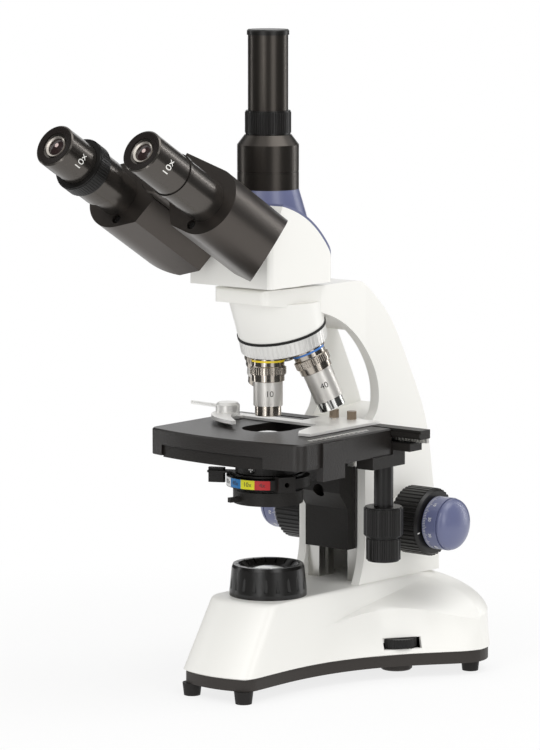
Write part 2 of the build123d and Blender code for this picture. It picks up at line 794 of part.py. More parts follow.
# Lamp housing: fluted collar around the field lens
lamp_frame = level(0)
with BuildPart() as lamp_housing:
    revolve(
        half_section(
            lamp_frame,
            (LAMP_SPIGOT_R, BASE_TOP - LAMP_SPIGOT_DEPTH), (LAMP_SPIGOT_R, BASE_TOP), (LAMP_FOOT_R, BASE_TOP),
            (LAMP_FOOT_R, BASE_TOP + 3), (LAMP_RIM_R + 0.8, LAMP_TOP - 2), (LAMP_RIM_R, LAMP_TOP),
            (LAMP_RIM_R - 3.5, LAMP_TOP), (FIELD_LENS_R + 1, LAMP_TOP - 4),
            (FIELD_LENS_R + SEAT_FIT, LAMP_TOP - 4), (FIELD_LENS_R + SEAT_FIT, FIELD_LENS_SEAT),
            (FIELD_LENS_R - 1.6, FIELD_LENS_SEAT), (FIELD_LENS_R - 1.6, FIELD_LENS_SEAT - 3),
            (LAMP_BORE_R, FIELD_LENS_SEAT - 5), (LAMP_BORE_R, BASE_TOP - LAMP_SPIGOT_DEPTH),
        ),
        turn_axis(lamp_frame),
    )
    with BuildSketch(level(BASE_TOP + 5)):
        with PolarLocations(LAMP_FOOT_R + LAMP_FLUTE_R * 0.3, LAMP_FLUTES):
            Circle(LAMP_FLUTE_R)
    extrude(amount=LAMP_TOP - BASE_TOP - 8, mode=Mode.SUBTRACT)
    with BuildSketch(level(LAMP_TOP - 3)):
        with PolarLocations(LAMP_RIM_R - 4.5, LAMP_NOTCHES):
            Rectangle(5, 1.2)
    extrude(amount=6, mode=Mode.SUBTRACT)
lamp_housing.part.label = "lamp_housing"
export_step(lamp_housing.part, "parts/lamp_housing.step")

# Field lens
with BuildPart() as field_lens:
    revolve(
        lens_section(lamp_frame, FIELD_LENS_R, FIELD_LENS_SEAT, FIELD_LENS_EDGE, FIELD_LENS_CROWN),
        turn_axis(lamp_frame),
    )
field_lens.part.label = "field_lens"
export_step(field_lens.part, "parts/field_lens.step")

# Lamp: diode disc on a cooling post
with BuildPart() as led_lamp:
    revolve(
        half_section(
            lamp_frame,
            (0, plate_floor_top), (LED_DISC_R + 2, plate_floor_top), (LED_DISC_R + 2, plate_floor_top + 3),
            (LED_POST_R, plate_floor_top + 3), (LED_POST_R, LED_POST_TOP), (LED_DISC_R, LED_POST_TOP),
            (LED_DISC_R, LED_POST_TOP + LED_DISC_THICK), (LED_DOME_R, LED_POST_TOP + LED_DISC_THICK),
            (LED_DOME_R * 0.7, LED_POST_TOP + LED_DISC_THICK + LED_DOME_R * 0.7),
            (0, LED_POST_TOP + LED_DISC_THICK + LED_DOME_R),
        ),
        turn_axis(lamp_frame),
    )
led_lamp.part.label = "led_lamp"
export_step(led_lamp.part, "parts/led_lamp.step")

# Dimmer: the control that the brightness dial turns
with BuildPart() as dimmer:
    with Locations(level(plate_floor_top, dial_centre.X, dial_centre.Y)):
        Box(DIMMER_BODY, DIMMER_BODY, DIMMER_HEIGHT, align=(Align.CENTER, Align.CENTER, Align.MIN))
        Cylinder(DIMMER_SHAFT_R, DIAL_Z + DIAL_THICK / 2 - plate_floor_top,
                 align=(Align.CENTER, Align.CENTER, Align.MIN))
dimmer.part.label = "dimmer"
export_step(dimmer.part, "parts/dimmer.step")

# Brightness dial: ribbed thumbwheel that shows through the slot
with BuildPart() as brightness_dial:
    extrude(
        ribbed_disc(level(dial_bottom, dial_centre.X, dial_centre.Y), DIAL_R, DIAL_RIBS, DIAL_RIB_R),
        amount=DIAL_THICK,
    )
    with Locations(level(DIAL_Z, dial_centre.X, dial_centre.Y)):
        Cylinder(DIMMER_SHAFT_R + RUN_FIT, DIAL_THICK * 2, mode=Mode.SUBTRACT)
brightness_dial.part.label = "brightness_dial"
export_step(brightness_dial.part, "parts/brightness_dial.step")

# Rear panel pieces: rocker switch frame, rocker and power inlet
rear_panel = Plane(origin=(0, AXIS_Y + BASE_REAR, 0), x_dir=(-1, 0, 0), z_dir=(0, 1, 0))
rocker_half = SWITCH_HEIGHT / 2 - SWITCH_RIM / 2
rocker_level = Plane(
    origin=(SWITCH_X, AXIS_Y + BASE_REAR - ROCKER_THICK / 2, SWITCH_Z),
    x_dir=(0, 1, 0),
    z_dir=(1, 0, 0),
)
with BuildPart() as switch_frame:
    with BuildSketch(rear_panel):
        with Locations((-SWITCH_X, SWITCH_Z)):
            Rectangle(SWITCH_WIDTH + SWITCH_RIM * 2, SWITCH_HEIGHT + SWITCH_RIM * 2)
    extrude(amount=PANEL_PROUD)
    with BuildSketch(rear_panel):
        with Locations((-SWITCH_X, SWITCH_Z)):
            Rectangle(SWITCH_WIDTH - SEAT_FIT * 2, SWITCH_HEIGHT - SEAT_FIT * 2)
    extrude(amount=-SWITCH_DEPTH)
    with BuildSketch(rear_panel.offset(PANEL_PROUD)):
        with Locations((-SWITCH_X, SWITCH_Z)):
            Rectangle(SWITCH_WIDTH - SWITCH_RIM, rocker_half * 2)
    extrude(amount=-SWITCH_DEPTH, mode=Mode.SUBTRACT)
    with BuildSketch(rocker_level):
        Circle(ROCKER_PIN_R + RUN_FIT)
    extrude(amount=SWITCH_WIDTH, both=True, mode=Mode.SUBTRACT)
switch_frame.part.label = "switch_frame"
export_step(switch_frame.part, "parts/switch_frame.step")

rocker_frame = turned(rocker_level, ROCKER_TILT)
rocker_reach = rocker_half - ROCKER_FIT
rocker_rise = ROCKER_THICK / 2
with BuildPart() as switch_rocker:
    with BuildSketch(rocker_frame):
        Polygon(
            (-rocker_rise, -rocker_reach + 1.5), (rocker_rise - 1, -rocker_reach + 0.5),
            (rocker_rise - 1.4, 0), (rocker_rise - 1, rocker_reach - 0.5), (-rocker_rise, rocker_reach - 1.5),
            align=None,
        )
    extrude(amount=(SWITCH_WIDTH - SWITCH_RIM) / 2 - SLIDE_GAP, both=True)
    with BuildSketch(rocker_level):
        Circle(ROCKER_PIN_R)
    extrude(amount=ROCKER_PIN_HALF, both=True)
switch_rocker.part.label = "switch_rocker"
export_step(switch_rocker.part, "parts/switch_rocker.step")

with BuildPart() as power_inlet:
    inlet_frame = Plane(
        origin=(INLET_X, AXIS_Y + BASE_REAR, INLET_Z), x_dir=(1, 0, 0), z_dir=(0, 1, 0)
    )
    revolve(
        half_section(
            inlet_frame,
            (INLET_BORE_R, PANEL_PROUD), (INLET_FLANGE_R, PANEL_PROUD), (INLET_FLANGE_R, 0), (INLET_R, 0),
            (INLET_R, -INLET_DEPTH - 2), (0, -INLET_DEPTH - 2), (0, -INLET_DEPTH), (INLET_BORE_R, -INLET_DEPTH),
        ),
        turn_axis(inlet_frame),
    )
power_inlet.part.label = "power_inlet"
export_step(power_inlet.part, "parts/power_inlet.step")

# Nosepiece frame: tilted axis through the middle of the seats, its normal pointing up
turret_tilt = math.radians(TURRET_TILT)
turret_up = Vector(0, -math.sin(turret_tilt), math.cos(turret_tilt))
turret_centre = Vector(
    0,
    AXIS_Y + SEAT_CIRCLE_R * math.cos(turret_tilt),
    SEAT_Z + SEAT_CIRCLE_R * math.sin(turret_tilt),
)
turret_frame = Plane(origin=turret_centre, x_dir=(1, 0, 0), z_dir=turret_up)
turret_turn = Axis((0, 0, 0), turret_up)
seat_sink = math.tan(turret_tilt)

# Arm: one casting with side walls, a hand hole and a plate for the head
def arm_outline():
    """Side view of the arm, front-to-back across and height up."""
    with BuildSketch(side(0)) as section:
        with BuildLine():
            Line((ARM_FOOT_FRONT, BASE_TOP), (ARM_REAR, BASE_TOP))
            Spline(
                (ARM_REAR, BASE_TOP), *ARM_BACK, (ARM_SHOULDER_Y, ARM_TOP),
                tangents=((0, 1), (-1, 0)),
            )
            Line((ARM_SHOULDER_Y, ARM_TOP), (ARM_NOSE_Y + 2, ARM_TOP))
            ThreePointArc((ARM_NOSE_Y + 2, ARM_TOP), (ARM_NOSE_Y + 0.6, ARM_TOP - 0.6), (ARM_NOSE_Y, ARM_TOP - 2))
            Line((ARM_NOSE_Y, ARM_TOP - 2), (ARM_NOSE_Y, ARM_TOP - ARM_NOSE_THICK))
            Spline(
                (ARM_NOSE_Y, ARM_TOP - ARM_NOSE_THICK), *ARM_BELLY, (ARM_FRONT, ARM_CHIN_Z),
                tangents=((1, -0.16), (0, -1)),
            )
            Line((ARM_FRONT, ARM_CHIN_Z), (ARM_FRONT, ARM_THROAT_Z))
            Spline((ARM_FRONT, ARM_THROAT_Z), (ARM_FOOT_FRONT, BASE_TOP), tangents=((0, -1), (-0.5, -1)))
        make_face()
    return section.sketch


def arm_plan():
    """Plan of the arm, narrow at the nose and wide at the rear foot."""
    with BuildSketch(level(BASE_TOP)) as section:
        Polygon(
            (-ARM_NOSE_HALF, ARM_NOSE_Y), (ARM_NOSE_HALF, ARM_NOSE_Y), (ARM_HALF, ARM_SPREAD_Y),
            (ARM_HALF, ARM_FRONT), (ARM_REAR_HALF, ARM_REAR), (-ARM_REAR_HALF, ARM_REAR),
            (-ARM_HALF, ARM_FRONT), (-ARM_HALF, ARM_SPREAD_Y),
            align=None,
        )
        fillet(section.vertices().sort_by(Axis.Y)[:2], ARM_NOSE_ROUND)
    return section.sketch


focus_frame = Plane(origin=(0, AXIS_Y + FOCUS_Y, FOCUS_Z), x_dir=(0, 1, 0), z_dir=(1, 0, 0))
head_screw_frame = Plane(origin=(0, AXIS_Y, HEAD_SCREW_Z), x_dir=(0, 1, 0), z_dir=(-1, 0, 0))
socket_floor = ARM_TOP - HEAD_SOCKET_DEPTH
with BuildPart() as arm:
    extrude(arm_outline(), amount=ARM_REAR_HALF, both=True)
    extrude(arm_plan(), amount=ARM_TOP, mode=Mode.INTERSECT)
    with BuildSketch(side(0)):
        with BuildLine():
            Polyline(
                (HANDLE_SILL[0], HANDLE_FLOOR), (HANDLE_SILL[1], HANDLE_FLOOR),
                (ARM_REAR + 2, HANDLE_REAR_FLOOR), (ARM_REAR + 2, HANDLE_ROOF), HANDLE_VAULT[0],
            )
            Spline(*HANDLE_VAULT, HANDLE_FRONT, tangents=((-1, 0.3), (-1, -0.4)))
            Line(HANDLE_FRONT, (HANDLE_SILL[0], HANDLE_FLOOR))
        make_face()
    extrude(amount=ARM_INNER_HALF, both=True, mode=Mode.SUBTRACT)
    with BuildSketch(level(BASE_TOP)):
        with Locations((0, (ARM_FOOT_FRONT + CHANNEL_REAR) / 2 - 5)):
            Rectangle(ARM_INNER_HALF * 2, CHANNEL_REAR - ARM_FOOT_FRONT + 10)
    extrude(amount=CHANNEL_TOP - BASE_TOP, mode=Mode.SUBTRACT)
    with BuildSketch(focus_frame):
        Circle(FOCUS_BOSS_R)
    extrude(amount=FOCUS_BOSS_OUT, both=True)
    with BuildSketch(focus_frame):
        Circle(FOCUS_BOSS_R * 2)
    extrude(amount=ARM_INNER_HALF, both=True, mode=Mode.SUBTRACT)
    with BuildSketch(focus_frame):
        Circle(FOCUS_BUSH_R)
    extrude(amount=FOCUS_BOSS_OUT * 2, both=True, mode=Mode.SUBTRACT)
    with BuildSketch(level(socket_floor)):
        Circle(HEAD_SOCKET_R)
    extrude(amount=HEAD_SOCKET_DEPTH * 2, mode=Mode.SUBTRACT)
    with BuildSketch(level(socket_floor)):
        Circle(LIGHT_BORE_R)
    extrude(amount=ARM_NOSE_THICK * 2, both=True, mode=Mode.SUBTRACT)
    with BuildSketch(level(BASE_TOP)):
        with Locations(*arm_screw_spots):
            Circle(ARM_SCREW_R + SEAT_FIT)
    extrude(amount=ARM_SCREW_LENGTH, mode=Mode.SUBTRACT)
    with BuildSketch(head_screw_frame):
        Circle(HEAD_SCREW_R + SEAT_FIT)
    extrude(amount=ARM_HALF * 2, mode=Mode.SUBTRACT)
    with BuildSketch(turret_frame.offset(NOSE_FOOT)):
        Circle(TURRET_R + TURRET_GAP)
    extrude(amount=-TURRET_R, mode=Mode.SUBTRACT)
arm.part.label = "arm"
export_step(arm.part, "parts/arm.step")

# Guide rails: two fixed ways inside the arm for the stage carrier
with BuildPart() as guide_rails:
    with BuildSketch(level(BASE_TOP)):
        for hand in (1, -1):
            with BuildLine():
                Polyline(
                    (hand * GUIDE_IN, GUIDE_FRONT), (hand * ARM_INNER_HALF, GUIDE_FRONT),
                    (hand * ARM_INNER_HALF, GUIDE_REAR), (hand * GUIDE_IN, GUIDE_REAR),
                    (hand * GUIDE_IN, (GUIDE_FRONT + GUIDE_REAR) / 2 + GUIDE_GROOVE / 2),
                    (hand * (GUIDE_IN + GUIDE_GROOVE_DEPTH), (GUIDE_FRONT + GUIDE_REAR) / 2),
                    (hand * GUIDE_IN, (GUIDE_FRONT + GUIDE_REAR) / 2 - GUIDE_GROOVE / 2),
                    close=True,
                )
            make_face()
    extrude(amount=CHANNEL_TOP - BASE_TOP)
guide_rails.part.label = "guide_rails"
export_step(guide_rails.part, "parts/guide_rails.step")

# Focus bushes in the side walls
with BuildPart() as focus_bushes:
    for hand in (1, -1):
        with BuildSketch(focus_frame.offset(hand * ARM_INNER_HALF)):
            Circle(FOCUS_BUSH_R)
            Circle(COARSE_SHAFT_R + RUN_FIT, mode=Mode.SUBTRACT)
        extrude(amount=hand * (FOCUS_BOSS_OUT - ARM_INNER_HALF))
focus_bushes.part.label = "focus_bushes"
export_step(focus_bushes.part, "parts/focus_bushes.step")

# Coarse focus: hollow shaft with its pinion, and two ribbed knobs
with BuildPart() as coarse_shaft:
    extrude(gear_section(focus_frame, PINION_MODULE, PINION_TEETH), amount=PINION_HALF, both=True)
    with BuildSketch(focus_frame):
        Circle(COARSE_SHAFT_R)
    extrude(amount=COARSE_OUT - 4, both=True)
    with BuildSketch(focus_frame):
        Circle(FINE_SHAFT_R + RUN_FIT)
    extrude(amount=COARSE_OUT, both=True, mode=Mode.SUBTRACT)
coarse_shaft.part.label = "coarse_shaft"
export_step(coarse_shaft.part, "parts/coarse_shaft.step")


def coarse_knob(hand):
    """Coarse knob on one side, +1 for the right."""
    frame = Plane(origin=focus_frame.origin, x_dir=(0, 1, 0), z_dir=(hand, 0, 0))
    width = COARSE_OUT - COARSE_IN
    with BuildPart() as knob:
        extrude(ribbed_disc(frame.offset(COARSE_IN + 2), COARSE_KNOB_R, COARSE_RIBS, COARSE_RIB_R),
                amount=width - 4)
        revolve(
            half_section(
                frame.offset(COARSE_IN),
                (0, 0), (COARSE_KNOB_R - 3, 0), (COARSE_KNOB_R - 0.7, 2), (COARSE_KNOB_R - 0.7, width - 2),
                (COARSE_KNOB_R - 2, width), (0, width),
            ),
            turn_axis(frame),
        )
        with BuildSketch(frame.offset(COARSE_IN)):
            Circle(COARSE_SHAFT_R + SEAT_FIT)
        extrude(amount=width - 4, mode=Mode.SUBTRACT)
        with BuildSketch(frame.offset(COARSE_IN)):
            Circle(FINE_SHAFT_R + RUN_FIT)
        extrude(amount=width * 2, mode=Mode.SUBTRACT)
    return knob.part


def fine_knob(hand):
    """Fine knob on one side, +1 for the right: a smooth skirt, a waist and a dome."""
    frame = Plane(origin=focus_frame.origin, x_dir=(0, 1, 0), z_dir=(hand, 0, 0))
    dome_foot = FINE_SKIRT + FINE_WAIST
    with BuildPart() as knob:
        with BuildSketch(Plane(origin=frame.origin, x_dir=frame.x_dir, z_dir=-frame.y_dir)):
            with BuildLine():
                Polyline(
                    (0, FINE_TIP), (0, FINE_IN), (FINE_KNOB_R - FINE_EDGE, FINE_IN),
                    (FINE_KNOB_R, FINE_IN + FINE_EDGE), (FINE_KNOB_R, FINE_SKIRT), (FINE_WAIST_R, FINE_SKIRT),
                    (FINE_WAIST_R, dome_foot), (FINE_DOME_R, dome_foot),
                )
                Bezier(
                    (FINE_DOME_R, dome_foot), (FINE_DOME_R, dome_foot + FINE_FULL * (FINE_TIP - dome_foot)),
                    (FINE_DOME_R * FINE_FULL, FINE_TIP), (0, FINE_TIP),
                )
            make_face()
        revolve(axis=turn_axis(frame))
    return knob.part


with BuildPart() as coarse_knobs:
    add(coarse_knob(1))
    add(coarse_knob(-1))
coarse_knobs.part.label = "coarse_knobs"
export_step(coarse_knobs.part, "parts/coarse_knobs.step")

# Fine focus: inner shaft with a domed knob at each end
with BuildPart() as fine_focus:
    add(fine_knob(1))
    add(fine_knob(-1))
    with BuildSketch(focus_frame):
        Circle(FINE_SHAFT_R)
    extrude(amount=FINE_SHAFT_REACH, both=True)
fine_focus.part.label = "fine_focus"
export_step(fine_focus.part, "parts/fine_focus.step")

# Stage carrier: the black bracket that climbs the rails
with BuildPart() as stage_carrier:
    with BuildSketch(side(0)):
        Polygon(
            (CARRIER_FRONT, CARRIER_BOTTOM), (GUIDE_FRONT - SLIDE_GAP, CARRIER_BOTTOM),
            (GUIDE_FRONT - SLIDE_GAP, CARRIER_TOP), (CARRIER_NECK_FRONT, CARRIER_TOP),
            (CARRIER_NECK_FRONT, CARRIER_NECK), (CARRIER_FRONT, CARRIER_BEND),
            align=None,
        )
    extrude(amount=CARRIER_HALF, both=True)
    with BuildSketch(level(CARRIER_TOP)):
        with Locations((0, (CARRIER_FLANGE_FRONT + GUIDE_FRONT - SLIDE_GAP) / 2)):
            Rectangle(CARRIER_FLANGE_HALF * 2, GUIDE_FRONT - SLIDE_GAP - CARRIER_FLANGE_FRONT)
    extrude(amount=-CARRIER_FLANGE)
    with BuildSketch(level(CARRIER_BOTTOM)):
        with Locations((0, (GUIDE_FRONT - 1 + CARRIER_REAR) / 2)):
            Rectangle((GUIDE_IN - SLIDE_GAP) * 2, CARRIER_REAR - GUIDE_FRONT + 1)
        with Locations((0, (GUIDE_REAR + SLIDE_GAP + CARRIER_REAR) / 2)):
            Rectangle((ARM_INNER_HALF - 3) * 2, CARRIER_REAR - GUIDE_REAR - SLIDE_GAP)
    extrude(amount=CARRIER_SLIDE_TOP - CARRIER_BOTTOM)
    with BuildSketch(Plane(origin=(0, AXIS_Y + CARRIER_NECK_FRONT, 0), x_dir=(1, 0, 0), z_dir=(0, -1, 0))):
        with Locations((0, CARRIER_HOLE_Z)):
            Circle(CARRIER_HOLE_R)
    extrude(amount=-CARRIER_HOLE_DEPTH, mode=Mode.SUBTRACT)
stage_carrier.part.label = "stage_carrier"
export_step(stage_carrier.part, "parts/stage_carrier.step")

def stage_front(front_y, half, bow):
    """Bowed front edge between two corners."""
    return ThreePointArc((-half, front_y), (0, front_y - bow), (half, front_y))


# Lower stage plate, fixed on the carrier
with BuildPart() as stage_base:
    with BuildSketch(level(LOWER_BOTTOM)):
        with BuildLine():
            stage_front(STAGE_CORNER_Y + LOWER_FRONT_SET, STAGE_HALF, STAGE_BOW)
            Polyline(
                (STAGE_HALF, STAGE_CORNER_Y + LOWER_FRONT_SET), (STAGE_HALF, LOWER_REAR),
                (-STAGE_HALF, LOWER_REAR), (-STAGE_HALF, STAGE_CORNER_Y + LOWER_FRONT_SET),
            )
        make_face()
        with Locations(((LOWER_LEFT + LOWER_RIGHT) / 2, (STAGE_CORNER_Y + LOWER_REAR) / 2)):
            Rectangle(LOWER_RIGHT - LOWER_LEFT, STAGE_HALF * 3, mode=Mode.INTERSECT)
        with Locations(((LOWER_LEFT + LOWER_HALF) / 2, (LOWER_WIDE_Y + LOWER_REAR) / 2)):
            Rectangle(LOWER_HALF - LOWER_LEFT, LOWER_REAR - LOWER_WIDE_Y)
        with Locations((LOWER_HALF - Y_RACK_BACK / 2, (LOWER_REAR + Y_RACK_REAR) / 2)):
            Rectangle(Y_RACK_BACK, Y_RACK_REAR - LOWER_REAR)
        Circle(LOWER_HOLE_R, mode=Mode.SUBTRACT)
    extrude(amount=LOWER_TOP - LOWER_BOTTOM)
stage_base.part.label = "stage_base"
export_step(stage_base.part, "parts/stage_base.step")

# Racks on the carrier: one for the focus, one for the front-to-back travel
rack_pitch_y = FOCUS_Y - PINION_MODULE * PINION_TEETH / 2
y_pitch_r = Y_PINION_MODULE * Y_PINION_TEETH / 2
with BuildPart() as carrier_racks:
    rack_frame = Plane(
        origin=(RACK_HALF, AXIS_Y + rack_pitch_y, FOCUS_Z), x_dir=(0, 0, 1), z_dir=(-1, 0, 0)
    )
    extrude(rack_section(rack_frame, PINION_MODULE, -RACK_BELOW, RACK_ABOVE, rack_pitch_y - CARRIER_REAR),
            amount=RACK_HALF * 2)
    y_rack_frame = Plane(
        origin=(DRIVE_X - y_pitch_r, AXIS_Y + DRIVE_Y, Y_RACK_BOTTOM), x_dir=(0, -1, 0), z_dir=(0, 0, 1)
    )
    extrude(
        rack_section(y_rack_frame, Y_PINION_MODULE, DRIVE_Y - Y_RACK_REAR, DRIVE_Y - Y_RACK_FRONT, Y_RACK_BACK),
        amount=LOWER_BOTTOM - Y_RACK_BOTTOM,
    )
carrier_racks.part.label = "carrier_racks"
export_step(carrier_racks.part, "parts/carrier_racks.step")

# Top stage plate with side skirts and a long opening
with BuildPart() as stage_top:
    with BuildSketch(level(STAGE_BOTTOM)) as stage_plan:
        with BuildLine():
            stage_front(STAGE_CORNER_Y, STAGE_HALF, STAGE_BOW)
            Polyline(
                (STAGE_HALF, STAGE_CORNER_Y), (STAGE_HALF, STAGE_REAR), (-STAGE_HALF, STAGE_REAR),
                (-STAGE_HALF, STAGE_CORNER_Y),
            )
        make_face()
        fillet(stage_plan.vertices().sort_by(Axis.Y)[:2], STAGE_CORNER_R)
    extrude(amount=STAGE_TOP - STAGE_BOTTOM)
    chamfer(stage_top.faces().sort_by(Axis.Z)[-1].edges(), STAGE_EDGE)
    with BuildSketch(level(STAGE_BOTTOM)):
        with Locations((0, (STAGE_REAR + 5 + STAGE_CORNER_Y + STAGE_SKIRT) / 2)):
            Rectangle((STAGE_HALF - STAGE_SKIRT) * 2, STAGE_REAR + 5 - STAGE_CORNER_Y - STAGE_SKIRT)
        with Locations(((LOWER_LEFT + LOWER_RIGHT) / 2, STAGE_CORNER_Y)):
            Rectangle(LOWER_RIGHT - LOWER_LEFT + FACE_GAP * 2, STAGE_BOW * 4)
    extrude(amount=STAGE_SKIN_BOTTOM - STAGE_BOTTOM, mode=Mode.SUBTRACT)
    with BuildSketch(level(STAGE_BOTTOM)):
        Circle(APERTURE_R)
        with Locations((0, APERTURE_REAR_Y)):
            Circle(APERTURE_REAR_R)
        make_hull()
    extrude(amount=STAGE_TOP, mode=Mode.SUBTRACT)
    with BuildSketch(side(0)):
        with Locations((STAGE_REAR, (RAIL_TONGUE_LOW + RAIL_TONGUE_HIGH) / 2)):
            Rectangle(RAIL_TONGUE * 2, RAIL_TONGUE_HIGH - RAIL_TONGUE_LOW + FACE_GAP * 2)
    extrude(amount=STAGE_HALF * 2, both=True, mode=Mode.SUBTRACT)
    with BuildSketch(level(LOWER_TOP, DRIVE_X, DRIVE_Y)):
        Circle(X_PINION_MODULE * (X_PINION_TEETH / 2 + 1) + FACE_GAP)
    extrude(amount=RAIL_TOP - RAIL_THICK - LOWER_TOP, mode=Mode.SUBTRACT)
    with BuildSketch(level(SIDE_BLOCK_BOTTOM)):
        with Locations((STAGE_HALF - 1, (SIDE_BLOCK_FRONT + SIDE_BLOCK_REAR) / 2)):
            Rectangle((SIDE_BLOCK_PROUD + 1) * 2, SIDE_BLOCK_REAR - SIDE_BLOCK_FRONT)
    extrude(amount=SIDE_BLOCK_TOP - SIDE_BLOCK_BOTTOM)
stage_top.part.label = "stage_top"
export_step(stage_top.part, "parts/stage_top.step")

# Condenser holder: ring, lug and arm on the carrier
top_level = level(0)
with BuildPart() as condenser_holder:
    with BuildSketch(level(HOLDER_ARM_BOTTOM)):
        with Locations((0, (HOLDER_ARM_START + CARRIER_NECK_FRONT) / 2)):
            Rectangle(HOLDER_ARM_HALF * 2, CARRIER_NECK_FRONT - HOLDER_ARM_START)
    extrude(amount=HOLDER_ARM_TOP - HOLDER_ARM_BOTTOM)
    with BuildSketch(level(LUG_BOTTOM)):
        with PolarLocations((HOLDER_RING_R + LUG_REACH) / 2 - 2, 1, start_angle=LUG_ANGLE):
            Rectangle(LUG_REACH - HOLDER_RING_R + 4, LUG_HALF * 2)
    extrude(amount=LUG_TOP - LUG_BOTTOM)
    with BuildSketch(level(HOLDER_RING_BOTTOM)):
        Circle(HOLDER_RING_R)
        with Locations((FILTER_PIN_X, FILTER_PIN_Y)):
            Circle(FILTER_EAR_R)
    extrude(amount=HOLDER_RING_TOP - HOLDER_RING_BOTTOM)
    with BuildSketch(level(HOLDER_NECK_FOOT)):
        Circle(HOLDER_NECK_R)
    extrude(amount=HOLDER_NECK_TOP - HOLDER_NECK_FOOT)
    with BuildSketch(level(IRIS_BOTTOM - FACE_GAP)):
        Circle(IRIS_RING_R + FACE_GAP)
    extrude(amount=IRIS_TOP - IRIS_BOTTOM + FACE_GAP * 2, mode=Mode.SUBTRACT)
    with BuildSketch(level(HOLDER_RING_BOTTOM)):
        Circle(CONDENSER_R + SEAT_FIT)
    extrude(amount=HOLDER_NECK_TOP, both=True, mode=Mode.SUBTRACT)
    with BuildSketch(Plane(
        origin=(0, AXIS_Y, (LUG_BOTTOM + LUG_TOP) / 2),
        x_dir=(-math.sin(math.radians(LUG_ANGLE)), math.cos(math.radians(LUG_ANGLE)), 0),
        z_dir=(math.cos(math.radians(LUG_ANGLE)), math.sin(math.radians(LUG_ANGLE)), 0),
    )):
        Circle(LUG_HOLE_R)
    extrude(amount=LUG_REACH * 2, mode=Mode.SUBTRACT)
    with BuildSketch(level(FILTER_EAR_BOTTOM)):
        with Locations((FILTER_PIN_X, FILTER_PIN_Y)):
            Circle(FILTER_PIN_R)
    extrude(amount=HOLDER_RING_BOTTOM - FILTER_EAR_BOTTOM)
condenser_holder.part.label = "condenser_holder"
export_step(condenser_holder.part, "parts/condenser_holder.step")

# Condenser: stepped barrel with its top lens
with BuildPart() as condenser_body:
    revolve(
        half_section(
            top_level,
            (CONDENSER_NOSE_R - 2, CONDENSER_BOTTOM), (CONDENSER_R, CONDENSER_BOTTOM),
            (CONDENSER_R, CONDENSER_SHOULDER - 3), (CONDENSER_R - 2, CONDENSER_SHOULDER),
            (CONDENSER_NOSE_R, CONDENSER_SHOULDER), (CONDENSER_NOSE_R, CONDENSER_TOP),
            (CONDENSER_NOSE_R - 0.8, CONDENSER_TOP + CONDENSER_LENS_EDGE),
            (CONDENSER_LENS_R + SEAT_FIT, CONDENSER_TOP + CONDENSER_LENS_EDGE),
            (CONDENSER_LENS_R + SEAT_FIT, CONDENSER_TOP), (CONDENSER_NOSE_R - 4, CONDENSER_TOP),
            (CONDENSER_NOSE_R - 4, CONDENSER_BOTTOM + 6), (CONDENSER_NOSE_R - 2, CONDENSER_BOTTOM + 6),
        ),
        turn_axis(top_level),
    )
condenser_body.part.label = "condenser_body"
export_step(condenser_body.part, "parts/condenser_body.step")

with BuildPart() as condenser_lens:
    revolve(
        lens_section(top_level, CONDENSER_LENS_R, CONDENSER_TOP, CONDENSER_LENS_EDGE, CONDENSER_LENS_CROWN),
        turn_axis(top_level),
    )
condenser_lens.part.label = "condenser_lens"
export_step(condenser_lens.part, "parts/condenser_lens.step")

# Iris lever: thin ring between the holder's ring and neck, with a finger tab
with BuildPart() as iris_lever:
    with BuildSketch(level(IRIS_BOTTOM)):
        Circle(IRIS_RING_R)
        with PolarLocations((IRIS_RING_IN + IRIS_LEVER_REACH) / 2, 1, start_angle=IRIS_LEVER_ANGLE):
            Rectangle(IRIS_LEVER_REACH - IRIS_RING_IN, IRIS_LEVER_HALF * 2)
        Circle(IRIS_RING_IN, mode=Mode.SUBTRACT)
    extrude(amount=IRIS_TOP - IRIS_BOTTOM)
    with BuildSketch(level(IRIS_TAB_BOTTOM)):
        with PolarLocations((IRIS_TAB_IN + IRIS_LEVER_REACH) / 2, 1, start_angle=IRIS_LEVER_ANGLE):
            RectangleRounded(IRIS_LEVER_REACH - IRIS_TAB_IN, IRIS_TAB_HALF * 2, IRIS_TAB_HALF * 0.7)
    extrude(amount=IRIS_TAB_TOP - IRIS_TAB_BOTTOM)
iris_lever.part.label = "iris_lever"
export_step(iris_lever.part, "parts/iris_lever.step")

# Filter holder: swing-out cup under the condenser
with BuildPart() as filter_holder:
    with BuildSketch(level(FILTER_BOTTOM)):
        Circle(FILTER_R)
        Circle(FILTER_BORE_R, mode=Mode.SUBTRACT)
    extrude(amount=FILTER_TOP - FILTER_BOTTOM)
    with BuildSketch(level(FILTER_BOTTOM + FILTER_FLOOR)):
        Circle(FILTER_SEAT_R)
    extrude(amount=FILTER_TOP - FILTER_BOTTOM, mode=Mode.SUBTRACT)
    with BuildSketch(level(FILTER_EAR_BOTTOM)):
        with Locations((FILTER_PIN_X, FILTER_PIN_Y)):
            Circle(FILTER_EAR_R)
        Circle(FILTER_SEAT_R, mode=Mode.SUBTRACT)
    extrude(amount=FILTER_TOP - FILTER_EAR_BOTTOM)
    with BuildSketch(level(FILTER_BOTTOM + FILTER_FLOOR)):
        with PolarLocations((FILTER_SEAT_R + 1 + FILTER_LEVER_REACH) / 2, 1, start_angle=FILTER_LEVER_ANGLE):
            Rectangle(FILTER_LEVER_REACH - FILTER_SEAT_R - 1, FILTER_LEVER_HALF * 2)
    extrude(amount=FILTER_LEVER_HALF * 2)
    with BuildSketch(level(0, FILTER_PIN_X, FILTER_PIN_Y)):
        Circle(FILTER_PIN_R + RUN_FIT)
    extrude(amount=FILTER_TOP * 2, mode=Mode.SUBTRACT)
filter_holder.part.label = "filter_holder"
export_step(filter_holder.part, "parts/filter_holder.step")


